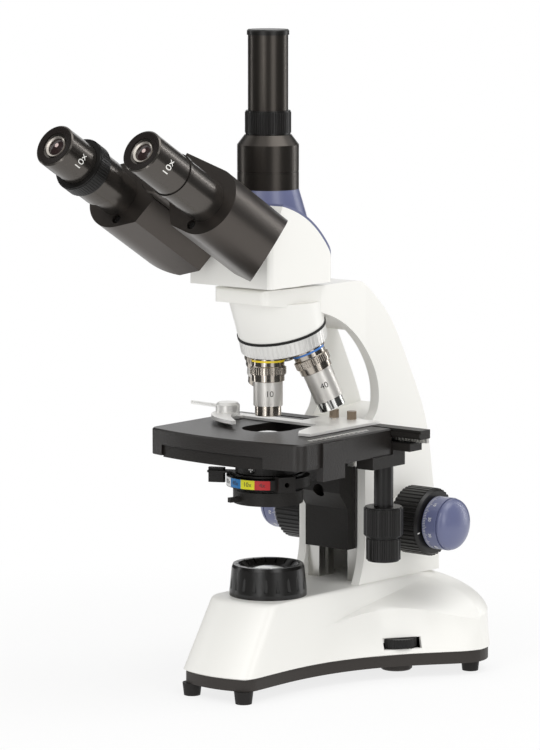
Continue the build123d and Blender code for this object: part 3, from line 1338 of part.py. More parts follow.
def block(low, high):
    """Plain block between two corners, given as (across, front-to-back, height)."""
    with BuildPart() as solid:
        with BuildSketch(level(low[2])):
            with Locations(((low[0] + high[0]) / 2, (low[1] + high[1]) / 2)):
                Rectangle(high[0] - low[0], high[1] - low[1])
        extrude(amount=high[2] - low[2])
    return solid.part


# Stage carriage: bearing block, bar and fence that hold the drive shafts and the rail
drive_frame = level(0, DRIVE_X, DRIVE_Y)
tube_top = Y_RACK_BOTTOM - FACE_GAP
with BuildPart() as stage_carriage:
    add(block((HOUSING_LEFT, HOUSING_FRONT, HOUSING_BOTTOM), (HOUSING_RIGHT, HOUSING_REAR, STAGE_BOTTOM)))
    add(block((HOUSING_LEFT, RAIL_FRONT, STAGE_BOTTOM), (HOUSING_RIGHT, HOUSING_REAR, BAR_TOP)))
    add(block((HOUSING_LEFT, RAIL_FRONT, BAR_BOTTOM), (BAR_RIGHT, HOUSING_REAR, BAR_TOP)))
    add(block((HOUSING_LEFT, HOUSING_REAR - FENCE_THICK, BAR_BOTTOM), (BAR_RIGHT, HOUSING_REAR, FENCE_TOP)))
    with BuildSketch(drive_frame):
        Circle(Y_TUBE_R + RUN_FIT)
    extrude(amount=tube_top + FACE_GAP / 2, mode=Mode.SUBTRACT)
    with BuildSketch(level(tube_top, DRIVE_X, DRIVE_Y)):
        Circle(Y_TUBE_R)
    extrude(amount=STAGE_BOTTOM - tube_top, mode=Mode.SUBTRACT)
    with BuildSketch(drive_frame):
        Circle(X_SHAFT_R + RUN_FIT)
    extrude(amount=RAIL_TOP, mode=Mode.SUBTRACT)
stage_carriage.part.label = "stage_carriage"
export_step(stage_carriage.part, "parts/stage_carriage.step")

# Cross rail behind the stage, with its rack
rail_middle = (RAIL_FRONT + RAIL_REAR) / 2
with BuildPart() as x_rail:
    add(block((RAIL_LEFT, RAIL_FRONT, RAIL_TOP - RAIL_THICK), (RAIL_RIGHT, RAIL_REAR, RAIL_TOP)))
    add(block((RAIL_LEFT, RAIL_FRONT - RAIL_TONGUE, RAIL_TONGUE_LOW), (RAIL_RIGHT, RAIL_FRONT, RAIL_TONGUE_HIGH)))
    with BuildSketch(level(RAIL_TOP - HOLDER_SCREW_SHANK)):
        with Locations(*HOLDER_SCREWS):
            Circle(HOLDER_SCREW_SHANK_R + SEAT_FIT)
    extrude(amount=HOLDER_SCREW_SHANK * 2, mode=Mode.SUBTRACT)
x_rail.part.label = "x_rail"
export_step(x_rail.part, "parts/x_rail.step")

x_pitch_r = X_PINION_MODULE * X_PINION_TEETH / 2
with BuildPart() as x_rack:
    x_rack_frame = Plane(
        origin=(DRIVE_X, AXIS_Y + DRIVE_Y + x_pitch_r, X_RACK_BOTTOM), x_dir=(-1, 0, 0), z_dir=(0, 0, 1)
    )
    extrude(
        rack_section(x_rack_frame, X_PINION_MODULE, DRIVE_X - X_RACK_RIGHT, DRIVE_X - X_RACK_LEFT, X_RACK_THICK),
        amount=RAIL_TOP - RAIL_THICK - X_RACK_BOTTOM,
    )
x_rack.part.label = "x_rack"
export_step(x_rack.part, "parts/x_rack.step")

# Drive for the front-to-back travel: upper knob, tube and pinion
with BuildPart() as y_drive:
    extrude(
        ribbed_disc(level(Y_KNOB_BOTTOM + 1, DRIVE_X, DRIVE_Y), Y_KNOB_R, XY_RIBS, XY_RIB_R),
        amount=Y_KNOB_TOP - Y_KNOB_BOTTOM - 2,
    )
    with BuildSketch(level(Y_KNOB_BOTTOM, DRIVE_X, DRIVE_Y)):
        Circle(Y_KNOB_R - XY_RIB_R)
    extrude(amount=Y_KNOB_TOP - Y_KNOB_BOTTOM)
    with BuildSketch(level(Y_KNOB_TOP, DRIVE_X, DRIVE_Y)):
        Circle(Y_TUBE_R)
    extrude(amount=tube_top - Y_KNOB_TOP)
    extrude(
        gear_section(level(tube_top, DRIVE_X, DRIVE_Y), Y_PINION_MODULE, Y_PINION_TEETH),
        amount=LOWER_BOTTOM - FACE_GAP - tube_top,
    )
    with BuildSketch(drive_frame):
        Circle(X_SHAFT_R + RUN_FIT)
    extrude(amount=RAIL_TOP, mode=Mode.SUBTRACT)
y_drive.part.label = "y_drive"
export_step(y_drive.part, "parts/y_drive.step")

# Drive for the sideways travel: lower knob, inner shaft and pinion
with BuildPart() as x_drive:
    extrude(
        ribbed_disc(level(X_KNOB_BOTTOM + 1, DRIVE_X, DRIVE_Y), X_KNOB_R, XY_RIBS, XY_RIB_R),
        amount=X_KNOB_TOP - X_KNOB_BOTTOM - 2,
    )
    with BuildSketch(level(X_KNOB_BOTTOM, DRIVE_X, DRIVE_Y)):
        Circle(X_KNOB_R - XY_RIB_R)
    extrude(amount=X_KNOB_TOP - X_KNOB_BOTTOM)
    with BuildSketch(level(X_KNOB_BOTTOM, DRIVE_X, DRIVE_Y)):
        Circle(X_SHAFT_R)
    extrude(amount=X_RACK_BOTTOM - X_KNOB_BOTTOM)
    extrude(
        gear_section(level(X_RACK_BOTTOM, DRIVE_X, DRIVE_Y), X_PINION_MODULE, X_PINION_TEETH, 90),
        amount=RAIL_TOP - RAIL_THICK - FACE_GAP - X_RACK_BOTTOM,
    )
x_drive.part.label = "x_drive"
export_step(x_drive.part, "parts/x_drive.step")

# Slide holder: flat silver plate on the rail, with the pin for the clip finger
holder_top = RAIL_TOP + HOLDER_THICK
with BuildPart() as slide_holder:
    with BuildSketch(level(RAIL_TOP)):
        Polygon(
            HOLDER_TIP, (HOLDER_RIGHT, HOLDER_TIP[1] + 1.4), (HOLDER_RIGHT, HOLDER_REAR),
            (HOLDER_FLANGE_LEFT, HOLDER_REAR), (HOLDER_FLANGE_LEFT, HOLDER_BAR_REAR),
            (HOLDER_LEFT, HOLDER_BAR_REAR), (HOLDER_LEFT, HOLDER_BAR_FRONT), HOLDER_CROOK, HOLDER_STEP,
            align=None,
        )
        with Locations((CLIP_X, (CLIP_Y + HOLDER_BAR_FRONT) / 2)):
            Rectangle(CLIP_PAD_R * 2, HOLDER_BAR_FRONT - CLIP_Y)
        with Locations((CLIP_X, CLIP_Y)):
            Circle(CLIP_PAD_R)
        with Locations(*HOLDER_SCREWS):
            Circle(HOLDER_SCREW_SHANK_R + SEAT_FIT, mode=Mode.SUBTRACT)
    extrude(amount=HOLDER_THICK)
    with BuildSketch(level(holder_top, CLIP_X, CLIP_Y)):
        Circle(CLIP_PIN_R)
    extrude(amount=CLIP_PIN_TOP - holder_top)
slide_holder.part.label = "slide_holder"
export_step(slide_holder.part, "parts/slide_holder.step")

with BuildPart() as holder_screws:
    for x, y in HOLDER_SCREWS:
        extrude(ribbed_disc(level(holder_top, x, y), HOLDER_SCREW_R, 24, 0.3), amount=HOLDER_SCREW_TOP - holder_top)
        with BuildSketch(level(holder_top, x, y)):
            Circle(HOLDER_SCREW_SHANK_R)
        extrude(amount=-HOLDER_THICK - HOLDER_SCREW_SHANK + 0.5)
holder_screws.part.label = "holder_screws"
export_step(holder_screws.part, "parts/holder_screws.step")

# Clip finger: curved spring finger with a round cap and a thin lever
finger_bottom = holder_top + CLIP_GAP
lever_turn = math.radians(CLIP_LEVER_ANGLE)
with BuildPart() as clip_finger:
    with BuildSketch(level(finger_bottom)):
        with BuildLine():
            Bezier((CLIP_X - CLIP_CAP_R, CLIP_Y), (CLIP_X - 4, CLIP_Y - 22), (CLIP_X + 14, CLIP_Y - 30), CLIP_TIP)
            Line(CLIP_TIP, (CLIP_TIP[0] + 1.0, CLIP_TIP[1] + 2.6))
            Bezier((CLIP_TIP[0] + 1.0, CLIP_TIP[1] + 2.6), (CLIP_X + 16, CLIP_Y - 18), (CLIP_X + 8, CLIP_Y - 8),
                   (CLIP_X + CLIP_CAP_R, CLIP_Y))
            Line((CLIP_X + CLIP_CAP_R, CLIP_Y), (CLIP_X - CLIP_CAP_R, CLIP_Y))
        make_face()
        with Locations((CLIP_X, CLIP_Y)):
            Circle(CLIP_CAP_R)
    extrude(amount=CLIP_THICK)
    revolve(
        half_section(
            level(0, CLIP_X, CLIP_Y),
            (0, finger_bottom), (CLIP_CAP_R, finger_bottom), (CLIP_CAP_R, CLIP_CAP_TOP - 1.6),
            (CLIP_CAP_R - 1.6, CLIP_CAP_TOP), (0, CLIP_CAP_TOP),
        ),
        turn_axis(level(0, CLIP_X, CLIP_Y)),
    )
    with BuildSketch(Plane(
        origin=(CLIP_X, AXIS_Y + CLIP_Y, CLIP_LEVER_Z),
        x_dir=(-math.sin(lever_turn), math.cos(lever_turn), 0),
        z_dir=(math.cos(lever_turn), math.sin(lever_turn), 0),
    )):
        Circle(CLIP_LEVER_HALF)
    extrude(amount=CLIP_LEVER_REACH)
    with BuildSketch(level(finger_bottom, CLIP_X, CLIP_Y)):
        Circle(CLIP_PIN_R + RUN_FIT)
    extrude(amount=CLIP_PIN_TOP + FACE_GAP - finger_bottom, mode=Mode.SUBTRACT)
clip_finger.part.label = "clip_finger"
export_step(clip_finger.part, "parts/clip_finger.step")

def seat_frame(turn):
    """Frame at a seat of the nosepiece, its normal pointing down the objective."""
    out = Vector(0, AXIS_Y, SEAT_Z) - turret_centre
    return Plane(
        origin=turret_centre + out.rotate(turret_turn, turn),
        x_dir=Vector(1, 0, 0).rotate(turret_turn, turn),
        z_dir=Vector(0, 0, -1).rotate(turret_turn, turn),
    )


def seat_drop(radius):
    """Height of the sloping underside of the turret at a radius."""
    return (radius - SEAT_CIRCLE_R) * seat_sink


seat_turns = [k * 360 / SEATS for k in range(SEATS)]
knurl_foot = seat_drop(TURRET_R) + FACE_GAP
with BuildPart() as turret:
    revolve(
        half_section(
            turret_frame,
            (BOLT_R + RUN_FIT, seat_drop(BOLT_R)), (TURRET_BOWL_R, seat_drop(TURRET_BOWL_R)),
            (TURRET_BOWL_R, TURRET_TOP - 1), (TURRET_BOWL_R - 1, TURRET_TOP), (TURRET_CORE_R, TURRET_TOP),
            (TURRET_CORE_R, TURRET_FLOOR), (BOLT_R + RUN_FIT, TURRET_FLOOR),
        ),
        turn_axis(turret_frame),
    )
    extrude(
        ribbed_disc(turret_frame.offset(knurl_foot), TURRET_R, TURRET_KNURLS, TURRET_KNURL_R),
        amount=TURRET_TOP - FACE_GAP - knurl_foot,
    )
    with BuildSketch(turret_frame.offset(TURRET_FLOOR)):
        Circle(TURRET_CORE_R)
    extrude(amount=TURRET_TOP, mode=Mode.SUBTRACT)
    with BuildSketch(turret_frame):
        Circle(BOLT_R + RUN_FIT)
    extrude(amount=TURRET_TOP, mode=Mode.SUBTRACT)
    for turn in seat_turns:
        with BuildSketch(seat_frame(turn)):
            Circle(THREAD_R + SEAT_FIT)
        extrude(amount=TURRET_R, both=True, mode=Mode.SUBTRACT)
turret.part.label = "turret"
export_step(turret.part, "parts/turret.step")

# Nosepiece housing: fixed ring over the turret, trimmed to the arm
with BuildPart() as nosepiece_housing:
    revolve(
        half_section(
            turret_frame,
            (BOLT_R + SEAT_FIT, TURRET_FLOOR + FACE_GAP), (NOSE_HUB_R, TURRET_FLOOR + FACE_GAP),
            (NOSE_HUB_R, NOSE_CAVITY), (TURRET_CORE_R, NOSE_CAVITY), (TURRET_CORE_R, NOSE_FOOT),
            (NOSE_FOOT_R, NOSE_FOOT), (NOSE_TOP_R, NOSE_REACH), (0, NOSE_REACH), (0, BOLT_END),
            (BOLT_R + SEAT_FIT, BOLT_END),
        ),
        turn_axis(turret_frame),
    )
    split(bisect_by=Plane(origin=(0, 0, NOSE_TOP), z_dir=(0, 0, 1)), keep=Keep.BOTTOM)
    add(arm.part, mode=Mode.SUBTRACT)
    with BuildSketch(level(SEAT_Z)):
        Circle(LIGHT_BORE_R)
    extrude(amount=ARM_TOP - SEAT_Z, mode=Mode.SUBTRACT)
nosepiece_housing.part.label = "nosepiece_housing"
export_step(nosepiece_housing.part, "parts/nosepiece_housing.step")

# Stand bolts: the turret's pivot bolt and the set screw for the head
with BuildPart() as stand_bolts:
    revolve(
        half_section(
            turret_frame,
            (0, -BOLT_HEAD_H + seat_drop(0)), (BOLT_HEAD_R - 1, -BOLT_HEAD_H + seat_drop(0)),
            (BOLT_HEAD_R, -BOLT_HEAD_H + seat_drop(0) + 1), (BOLT_HEAD_R, seat_drop(0) - FACE_GAP),
            (BOLT_R, seat_drop(0) - FACE_GAP), (BOLT_R, BOLT_END), (0, BOLT_END),
        ),
        turn_axis(turret_frame),
    )
    revolve(
        half_section(
            head_screw_frame,
            (0, HEAD_SOCKET_R + FACE_GAP), (HEAD_SCREW_R, HEAD_SOCKET_R + FACE_GAP),
            (HEAD_SCREW_R, ARM_HALF - HEAD_SCREW_HEAD), (HEAD_SCREW_HEAD_R, ARM_HALF - HEAD_SCREW_HEAD),
            (HEAD_SCREW_HEAD_R, ARM_HALF), (0, ARM_HALF),
        ),
        turn_axis(head_screw_frame),
    )
stand_bolts.part.label = "stand_bolts"
export_step(stand_bolts.part, "parts/stand_bolts.step")


def objective(frame, length, loose_tip):
    """Objective of a length, bored for a sliding tip when the tip is loose."""
    shoulder = length - OBJECTIVE_TIP
    with BuildPart() as solid:
        revolve(
            half_section(
                frame,
                (0, -THREAD_LENGTH), (THREAD_R, -THREAD_LENGTH), (THREAD_R, 0), (OBJECTIVE_COLLAR_R, 0),
                (OBJECTIVE_COLLAR_R, OBJECTIVE_COLLAR), (OBJECTIVE_KNURL_R - 0.5, OBJECTIVE_COLLAR + 0.7),
                (OBJECTIVE_KNURL_R - 0.5, OBJECTIVE_KNURL), (OBJECTIVE_STEP_R, OBJECTIVE_KNURL),
                (OBJECTIVE_STEP_R, OBJECTIVE_STEP), (OBJECTIVE_BARREL_R, OBJECTIVE_STEP + 0.6),
                (OBJECTIVE_BARREL_R, shoulder), (0, shoulder),
            ),
            turn_axis(frame),
        )
        extrude(
            ribbed_disc(frame.offset(OBJECTIVE_COLLAR + 0.9), OBJECTIVE_KNURL_R, OBJECTIVE_KNURLS,
                        OBJECTIVE_KNURL_DEEP),
            amount=OBJECTIVE_KNURL - OBJECTIVE_COLLAR - 1.5,
        )
        with BuildSketch(frame.offset(-THREAD_LENGTH)):
            Circle(OBJECTIVE_BORE_R)
        extrude(amount=THREAD_LENGTH + OBJECTIVE_STEP, mode=Mode.SUBTRACT)
        if loose_tip:
            with BuildSketch(frame.offset(shoulder)):
                Circle(OBJECTIVE_TIP_R + RUN_FIT)
            extrude(amount=-OBJECTIVE_TIP_INSIDE - OBJECTIVE_TIP_TRAVEL - FACE_GAP, mode=Mode.SUBTRACT)
        else:
            add(objective_tip(frame, length, 0))
    return solid.part


def objective_tip(frame, length, inside):
    """Front sleeve of an objective with its small lens hollow."""
    foot = length - OBJECTIVE_TIP - inside
    with BuildPart() as solid:
        revolve(
            half_section(
                frame,
                (0, foot), (OBJECTIVE_TIP_R, foot), (OBJECTIVE_TIP_R, length - 0.5),
                (OBJECTIVE_TIP_R - 0.5, length), (OBJECTIVE_TIP_R - 2.6, length),
                (OBJECTIVE_LENS_R, length - 0.7), (OBJECTIVE_LENS_R - 0.6, length - 1.6), (0, length - 1.6),
            ),
            turn_axis(frame),
        )
    return solid.part


# Objectives round the turret: medium on the axis, long to the user's right
with BuildPart() as objective_10x:
    add(objective(seat_frame(0), MEDIUM_OBJECTIVE, False))
objective_10x.part.label = "objective_10x"
export_step(objective_10x.part, "parts/objective_10x.step")

with BuildPart() as objective_40x:
    add(objective(seat_frame(90), LONG_OBJECTIVE, True))
objective_40x.part.label = "objective_40x"
export_step(objective_40x.part, "parts/objective_40x.step")

with BuildPart() as objective_100x:
    add(objective(seat_frame(180), OIL_OBJECTIVE, True))
objective_100x.part.label = "objective_100x"
export_step(objective_100x.part, "parts/objective_100x.step")

with BuildPart() as objective_4x:
    add(objective(seat_frame(270), SHORT_OBJECTIVE, False))
objective_4x.part.label = "objective_4x"
export_step(objective_4x.part, "parts/objective_4x.step")

with BuildPart() as tip_40x:
    add(objective_tip(seat_frame(90), LONG_OBJECTIVE, OBJECTIVE_TIP_INSIDE))
tip_40x.part.label = "tip_40x"
export_step(tip_40x.part, "parts/tip_40x.step")

with BuildPart() as tip_100x:
    add(objective_tip(seat_frame(180), OIL_OBJECTIVE, OBJECTIVE_TIP_INSIDE))
tip_100x.part.label = "tip_100x"
export_step(tip_100x.part, "parts/tip_100x.step")


def head_outline(shift):
    """Side view of the head, shifted forwards and down."""
    back = [(y - shift, z - shift) for y, z in HEAD_BACK]
    top = (HEAD_FACE_TOP[0] - shift, HEAD_FACE_TOP[1] - shift)
    with BuildSketch(side(0)) as section:
        with BuildLine():
            Polyline(
                (HEAD_REAR - shift, HEAD_BOTTOM), (HEAD_FRONT - shift, HEAD_BOTTOM),
                (HEAD_FRONT - shift, HEAD_FACE_FOOT - shift), top,
            )
            Spline(top, *back, (HEAD_REAR - shift, HEAD_BOTTOM), tangents=((1, -0.25), (0, -1)))
        make_face()
    return section.sketch


def head_block():
    """Whole outer block of the head with rounded upright edges."""
    with BuildPart() as solid:
        extrude(head_outline(0), amount=HEAD_HALF * 2, both=True)
        with BuildSketch(level(HEAD_BOTTOM - COVER_THICK)):
            with Locations((0, (HEAD_FRONT + HEAD_REAR) / 2)):
                RectangleRounded(HEAD_HALF * 2, HEAD_REAR - HEAD_FRONT + HEAD_PLAN_OVER * 2, HEAD_ROUND)
        extrude(amount=PHOTO_FOOT - HEAD_BOTTOM, mode=Mode.INTERSECT)
    return solid.part


cover_shift = COVER_THICK * 0.75
slope_angle = math.radians(TUBE_TILT)
hinge_eye = Vector(0, AXIS_Y + EYE_Y, EYE_Z) + Vector(
    0, math.sin(slope_angle), math.cos(slope_angle)
) * (HINGE_TO_TUBE * math.sin(math.radians(WING_DROOP)))
hinge_frame = Plane(
    origin=hinge_eye, x_dir=(1, 0, 0), z_dir=(0, math.cos(slope_angle), -math.sin(slope_angle))
)
with BuildPart() as head_body:
    add(head_block())
    extrude(head_outline(cover_shift), amount=HEAD_HALF * 2, both=True, mode=Mode.INTERSECT)
    with BuildSketch(side(0)):
        add(head_outline(cover_shift))
        offset(amount=-HEAD_WALL, mode=Mode.REPLACE)
    extrude(amount=HEAD_HALF - HEAD_WALL, both=True, mode=Mode.SUBTRACT)
    with BuildSketch(level(HEAD_BOTTOM)):
        Circle(HEAD_RING_R)
    extrude(amount=ARM_TOP + DOVETAIL_GAP - HEAD_BOTTOM)
    with BuildSketch(level(HEAD_BOTTOM)):
        Circle(HEAD_SOCKET_R - RUN_FIT)
    extrude(amount=socket_floor + DOVETAIL_GAP - HEAD_BOTTOM)
    with BuildSketch(level(socket_floor)):
        Circle(LIGHT_BORE_R)
    extrude(amount=HEAD_FACE_FOOT - socket_floor, mode=Mode.SUBTRACT)
    with BuildSketch(level(PHOTO_SPIGOT_FOOT - 2)):
        Circle(PHOTO_SPIGOT_R + SEAT_FIT)
    extrude(amount=PHOTO_FOOT, mode=Mode.SUBTRACT)
    with BuildSketch(hinge_frame):
        Circle(SHAFT_R + SEAT_FIT)
    extrude(amount=SHAFT_END + 2, mode=Mode.SUBTRACT)
head_body.part.label = "head_body"
export_step(head_body.part, "parts/head_body.step")

# Head cover: coloured strip over the back, rising to the collar of the photo tube
with BuildPart() as head_cover:
    revolve(
        half_section(
            top_level,
            (0, HEAD_BACK[2][1]), (COLLAR_R, HEAD_BACK[2][1]), (COLLAR_R, COLLAR_FOOT),
            (PHOTO_R, PHOTO_FOOT), (0, PHOTO_FOOT),
        ),
        turn_axis(top_level),
    )
    with BuildSketch(level(HEAD_BOTTOM)):
        Rectangle(HEAD_HALF * 2, COLLAR_REAR * 2)
    extrude(amount=PHOTO_FOOT, mode=Mode.INTERSECT)
    add(head_block())
    extrude(head_outline(cover_shift), amount=HEAD_HALF * 2, both=True, mode=Mode.SUBTRACT)
    with BuildSketch(level(HEAD_BOTTOM)):
        Circle(PHOTO_SPIGOT_R + SEAT_FIT)
    extrude(amount=PHOTO_FOOT, mode=Mode.SUBTRACT)
head_cover.part.label = "head_cover"
export_step(head_cover.part, "parts/head_cover.step")

# Photo port, locking ring, photo tube and its dust cap
with BuildPart() as photo_port:
    revolve(
        half_section(
            top_level,
            (PHOTO_TUBE_BORE_R, PHOTO_SPIGOT_FOOT), (PHOTO_SPIGOT_R, PHOTO_SPIGOT_FOOT),
            (PHOTO_SPIGOT_R, PHOTO_FOOT), (PHOTO_R, PHOTO_FOOT), (PHOTO_R, PHOTO_GROOVE_Z - PHOTO_GROOVE / 2),
            (PHOTO_R - PHOTO_GROOVE, PHOTO_GROOVE_Z - PHOTO_GROOVE / 2),
            (PHOTO_R - PHOTO_GROOVE, PHOTO_GROOVE_Z + PHOTO_GROOVE / 2),
            (PHOTO_R, PHOTO_GROOVE_Z + PHOTO_GROOVE / 2), (PHOTO_R, PHOTO_SHOULDER), (PHOTO_NECK_R, PHOTO_NECK),
            (PHOTO_TUBE_SPIGOT_R + SEAT_FIT, PHOTO_NECK), (PHOTO_TUBE_SPIGOT_R + SEAT_FIT, PHOTO_TUBE_FOOT),
            (PHOTO_TUBE_BORE_R, PHOTO_TUBE_FOOT),
        ),
        turn_axis(top_level),
    )
photo_port.part.label = "photo_port"
export_step(photo_port.part, "parts/photo_port.step")

with BuildPart() as photo_ring:
    extrude(
        ribbed_disc(level(PHOTO_RING_FOOT + 1), PHOTO_RING_R, PHOTO_RING_KNURLS, PHOTO_RING_KNURL_R),
        amount=PHOTO_RING_TOP - PHOTO_RING_FOOT - 2,
    )
    with BuildSketch(level(PHOTO_RING_FOOT)):
        Circle(PHOTO_RING_R - PHOTO_RING_KNURL_R)
    extrude(amount=PHOTO_RING_TOP - PHOTO_RING_FOOT)
    with BuildSketch(level(PHOTO_RING_FOOT)):
        Circle(PHOTO_TUBE_R + RUN_FIT)
    extrude(amount=PHOTO_RING_TOP, mode=Mode.SUBTRACT)
photo_ring.part.label = "photo_ring"
export_step(photo_ring.part, "parts/photo_ring.step")

with BuildPart() as photo_tube:
    revolve(
        half_section(
            top_level,
            (PHOTO_TUBE_BORE_R, PHOTO_TUBE_FOOT), (PHOTO_TUBE_SPIGOT_R, PHOTO_TUBE_FOOT),
            (PHOTO_TUBE_SPIGOT_R, PHOTO_NECK), (PHOTO_TUBE_R, PHOTO_NECK), (PHOTO_TUBE_R, PHOTO_TUBE_TOP),
            (PHOTO_TUBE_BORE_R, PHOTO_TUBE_TOP),
        ),
        turn_axis(top_level),
    )
photo_tube.part.label = "photo_tube"
export_step(photo_tube.part, "parts/photo_tube.step")

with BuildPart() as photo_cap:
    revolve(
        half_section(
            top_level,
            (0, PHOTO_TUBE_TOP - CAP_PLUG), (PHOTO_TUBE_BORE_R - SEAT_FIT, PHOTO_TUBE_TOP - CAP_PLUG),
            (PHOTO_TUBE_BORE_R - SEAT_FIT, PHOTO_TUBE_TOP), (CAP_R, PHOTO_TUBE_TOP), (CAP_R, CAP_TOP - 0.8),
            (CAP_R - 0.8, CAP_TOP), (0, CAP_TOP),
        ),
        turn_axis(top_level),
    )
photo_cap.part.label = "photo_cap"
export_step(photo_cap.part, "parts/photo_cap.step")

# Hinge drum: fixed barrel and shaft that both wings turn on
with BuildPart() as hinge_drum:
    revolve(
        half_section(
            hinge_frame,
            (0, DRUM_FRONT), (DRUM_R - 1, DRUM_FRONT), (DRUM_R, DRUM_FRONT + 1), (DRUM_R, DRUM_REAR),
            (SHAFT_R, DRUM_REAR), (SHAFT_R, SHAFT_END), (0, SHAFT_END),
        ),
        turn_axis(hinge_frame),
    )
hinge_drum.part.label = "hinge_drum"
export_step(hinge_drum.part, "parts/hinge_drum.step")

# Binocular pieces are drawn for the user's right; the left ones are their mirror images
wing_frame = turned(hinge_frame, WING_DROOP)
tube_frame = Plane(
    origin=hinge_eye + wing_frame.x_dir * HINGE_TO_TUBE, x_dir=wing_frame.x_dir, z_dir=wing_frame.z_dir
)
cut_slope = math.tan(math.radians(WING_DROOP_MAX))


def wing_outline(frame, inset):
    """End view of a wing: round outside, flat inside with its lower corner cut away."""
    radius = WING_R - inset
    inner = WING_GAP + inset
    with BuildSketch(frame) as section:
        with Locations((HINGE_TO_TUBE, 0)):
            Circle(radius)
        with Locations(((HINGE_TO_TUBE + inner) / 2, 0)):
            Rectangle(HINGE_TO_TUBE - inner, radius * 2)
        Polygon(
            (inner - 1, -1 / cut_slope), (inner + (WING_R + 1) * cut_slope, WING_R + 1), (inner - 1, WING_R + 1),
            align=None, mode=Mode.SUBTRACT,
        )
    return section.sketch


def wing(own_lug, other_lug):
    """Prism housing of one side, with its own hinge lug and room for the other one."""
    with BuildPart() as solid:
        extrude(wing_outline(wing_frame.offset(WING_FRONT), 0), amount=WING_REAR - WING_FRONT)
        with BuildSketch(Plane(
            origin=wing_frame.origin, x_dir=wing_frame.x_dir, z_dir=-wing_frame.y_dir
        )):
            Polygon(
                (HINGE_TO_TUBE + WING_R + 2, WING_CUT - 2),
                (HINGE_TO_TUBE + WING_R + 2, WING_REAR + 2),
                (HINGE_TO_TUBE + WING_R + WING_CUT - WING_REAR - 2, WING_REAR + 2),
                align=None,
            )
        extrude(amount=WING_R * 2, both=True, mode=Mode.SUBTRACT)
        with BuildSketch(wing_frame.offset(WING_GROOVE)):
            add(wing_outline(wing_frame.offset(WING_GROOVE), -1))
            add(wing_outline(wing_frame.offset(WING_GROOVE), WING_GROOVE_D), mode=Mode.SUBTRACT)
        extrude(amount=WING_GROOVE_W, mode=Mode.SUBTRACT)
        with BuildSketch(wing_frame.offset(WING_FRONT)):
            Circle(DRUM_R + DRUM_GAP)
        extrude(amount=WING_REAR, mode=Mode.SUBTRACT)
        with BuildSketch(wing_frame.offset(own_lug[0])):
            Circle(LUG_R)
            with Locations(((HINGE_TO_TUBE - WING_R) / 2 + 4, 0)):
                Rectangle(HINGE_TO_TUBE - WING_R + 8, LUG_R * 1.6)
            Circle(SHAFT_R + RUN_FIT, mode=Mode.SUBTRACT)
        extrude(amount=own_lug[1] - own_lug[0])
        with BuildSketch(tube_frame.offset(WING_FRONT)):
            Circle(WING_BORE_R)
        extrude(amount=WING_BORE_END - WING_FRONT, mode=Mode.SUBTRACT)
        with BuildSketch(tube_frame.offset(WING_FRONT)):
            Circle(TUBE_SPIGOT_R + SEAT_FIT)
        extrude(amount=TUBE_SPIGOT + FACE_GAP, mode=Mode.SUBTRACT)
        with BuildSketch(tube_frame.offset(WING_FRONT)):
            with Locations((0, WING_SCREW_DOWN)):
                Circle(WING_SCREW_R)
        extrude(amount=WING_SCREW_DEPTH, mode=Mode.SUBTRACT)
    return solid.part


with BuildPart() as right_wing:
    add(wing(RIGHT_LUG, LEFT_LUG))
right_wing.part.label = "right_wing"
export_step(right_wing.part, "parts/right_wing.step")

with BuildPart() as left_wing:
    add(wing(LEFT_LUG, RIGHT_LUG))
    mirror(about=Plane.YZ, mode=Mode.REPLACE)
left_wing.part.label = "left_wing"
export_step(left_wing.part, "parts/left_wing.step")

# Eyepiece tubes
with BuildPart() as right_tube:
    revolve(
        half_section(
            tube_frame,
            (TUBE_BORE_R, TUBE_FRONT), (TUBE_RING_R, TUBE_FRONT), (TUBE_RING_R, TUBE_RING_END),
            (TUBE_R, TUBE_RING_END), (TUBE_R, WING_FRONT), (TUBE_SPIGOT_R, WING_FRONT),
            (TUBE_SPIGOT_R, WING_FRONT + TUBE_SPIGOT), (TUBE_BORE_R, WING_FRONT + TUBE_SPIGOT),
        ),
        turn_axis(tube_frame),
    )
right_tube.part.label = "right_tube"
export_step(right_tube.part, "parts/right_tube.step")

with BuildPart() as left_tube:
    revolve(
        half_section(
            tube_frame,
            (TUBE_BORE_R, TUBE_FRONT), (TUBE_R, TUBE_FRONT), (TUBE_R, DIOPTRE_REAR + FACE_GAP),
            (WINDOW_COLLAR_R, DIOPTRE_REAR + FACE_GAP), (WINDOW_COLLAR_R, WINDOW_COLLAR_END),
            (TUBE_R, WINDOW_COLLAR_END + 1), (TUBE_R, WING_FRONT), (TUBE_SPIGOT_R, WING_FRONT),
            (TUBE_SPIGOT_R, WING_FRONT + TUBE_SPIGOT), (TUBE_BORE_R, WING_FRONT + TUBE_SPIGOT),
        ),
        turn_axis(tube_frame),
    )
    mirror(about=Plane.YZ, mode=Mode.REPLACE)
left_tube.part.label = "left_tube"
export_step(left_tube.part, "parts/left_tube.step")

# Dioptre ring on the left tube
with BuildPart() as dioptre_ring:
    extrude(
        ribbed_disc(tube_frame.offset(DIOPTRE_FRONT + 1), DIOPTRE_R, DIOPTRE_KNURLS, DIOPTRE_KNURL_R),
        amount=DIOPTRE_REAR - DIOPTRE_FRONT - 2,
    )
    with BuildSketch(tube_frame.offset(DIOPTRE_FRONT)):
        Circle(DIOPTRE_R - DIOPTRE_KNURL_R)
    extrude(amount=DIOPTRE_REAR - DIOPTRE_FRONT)
    with BuildSketch(tube_frame.offset(DIOPTRE_FRONT)):
        Circle(TUBE_R + RUN_FIT)
    extrude(amount=DIOPTRE_REAR, mode=Mode.SUBTRACT)
    mirror(about=Plane.YZ, mode=Mode.REPLACE)
dioptre_ring.part.label = "dioptre_ring"
export_step(dioptre_ring.part, "parts/dioptre_ring.step")


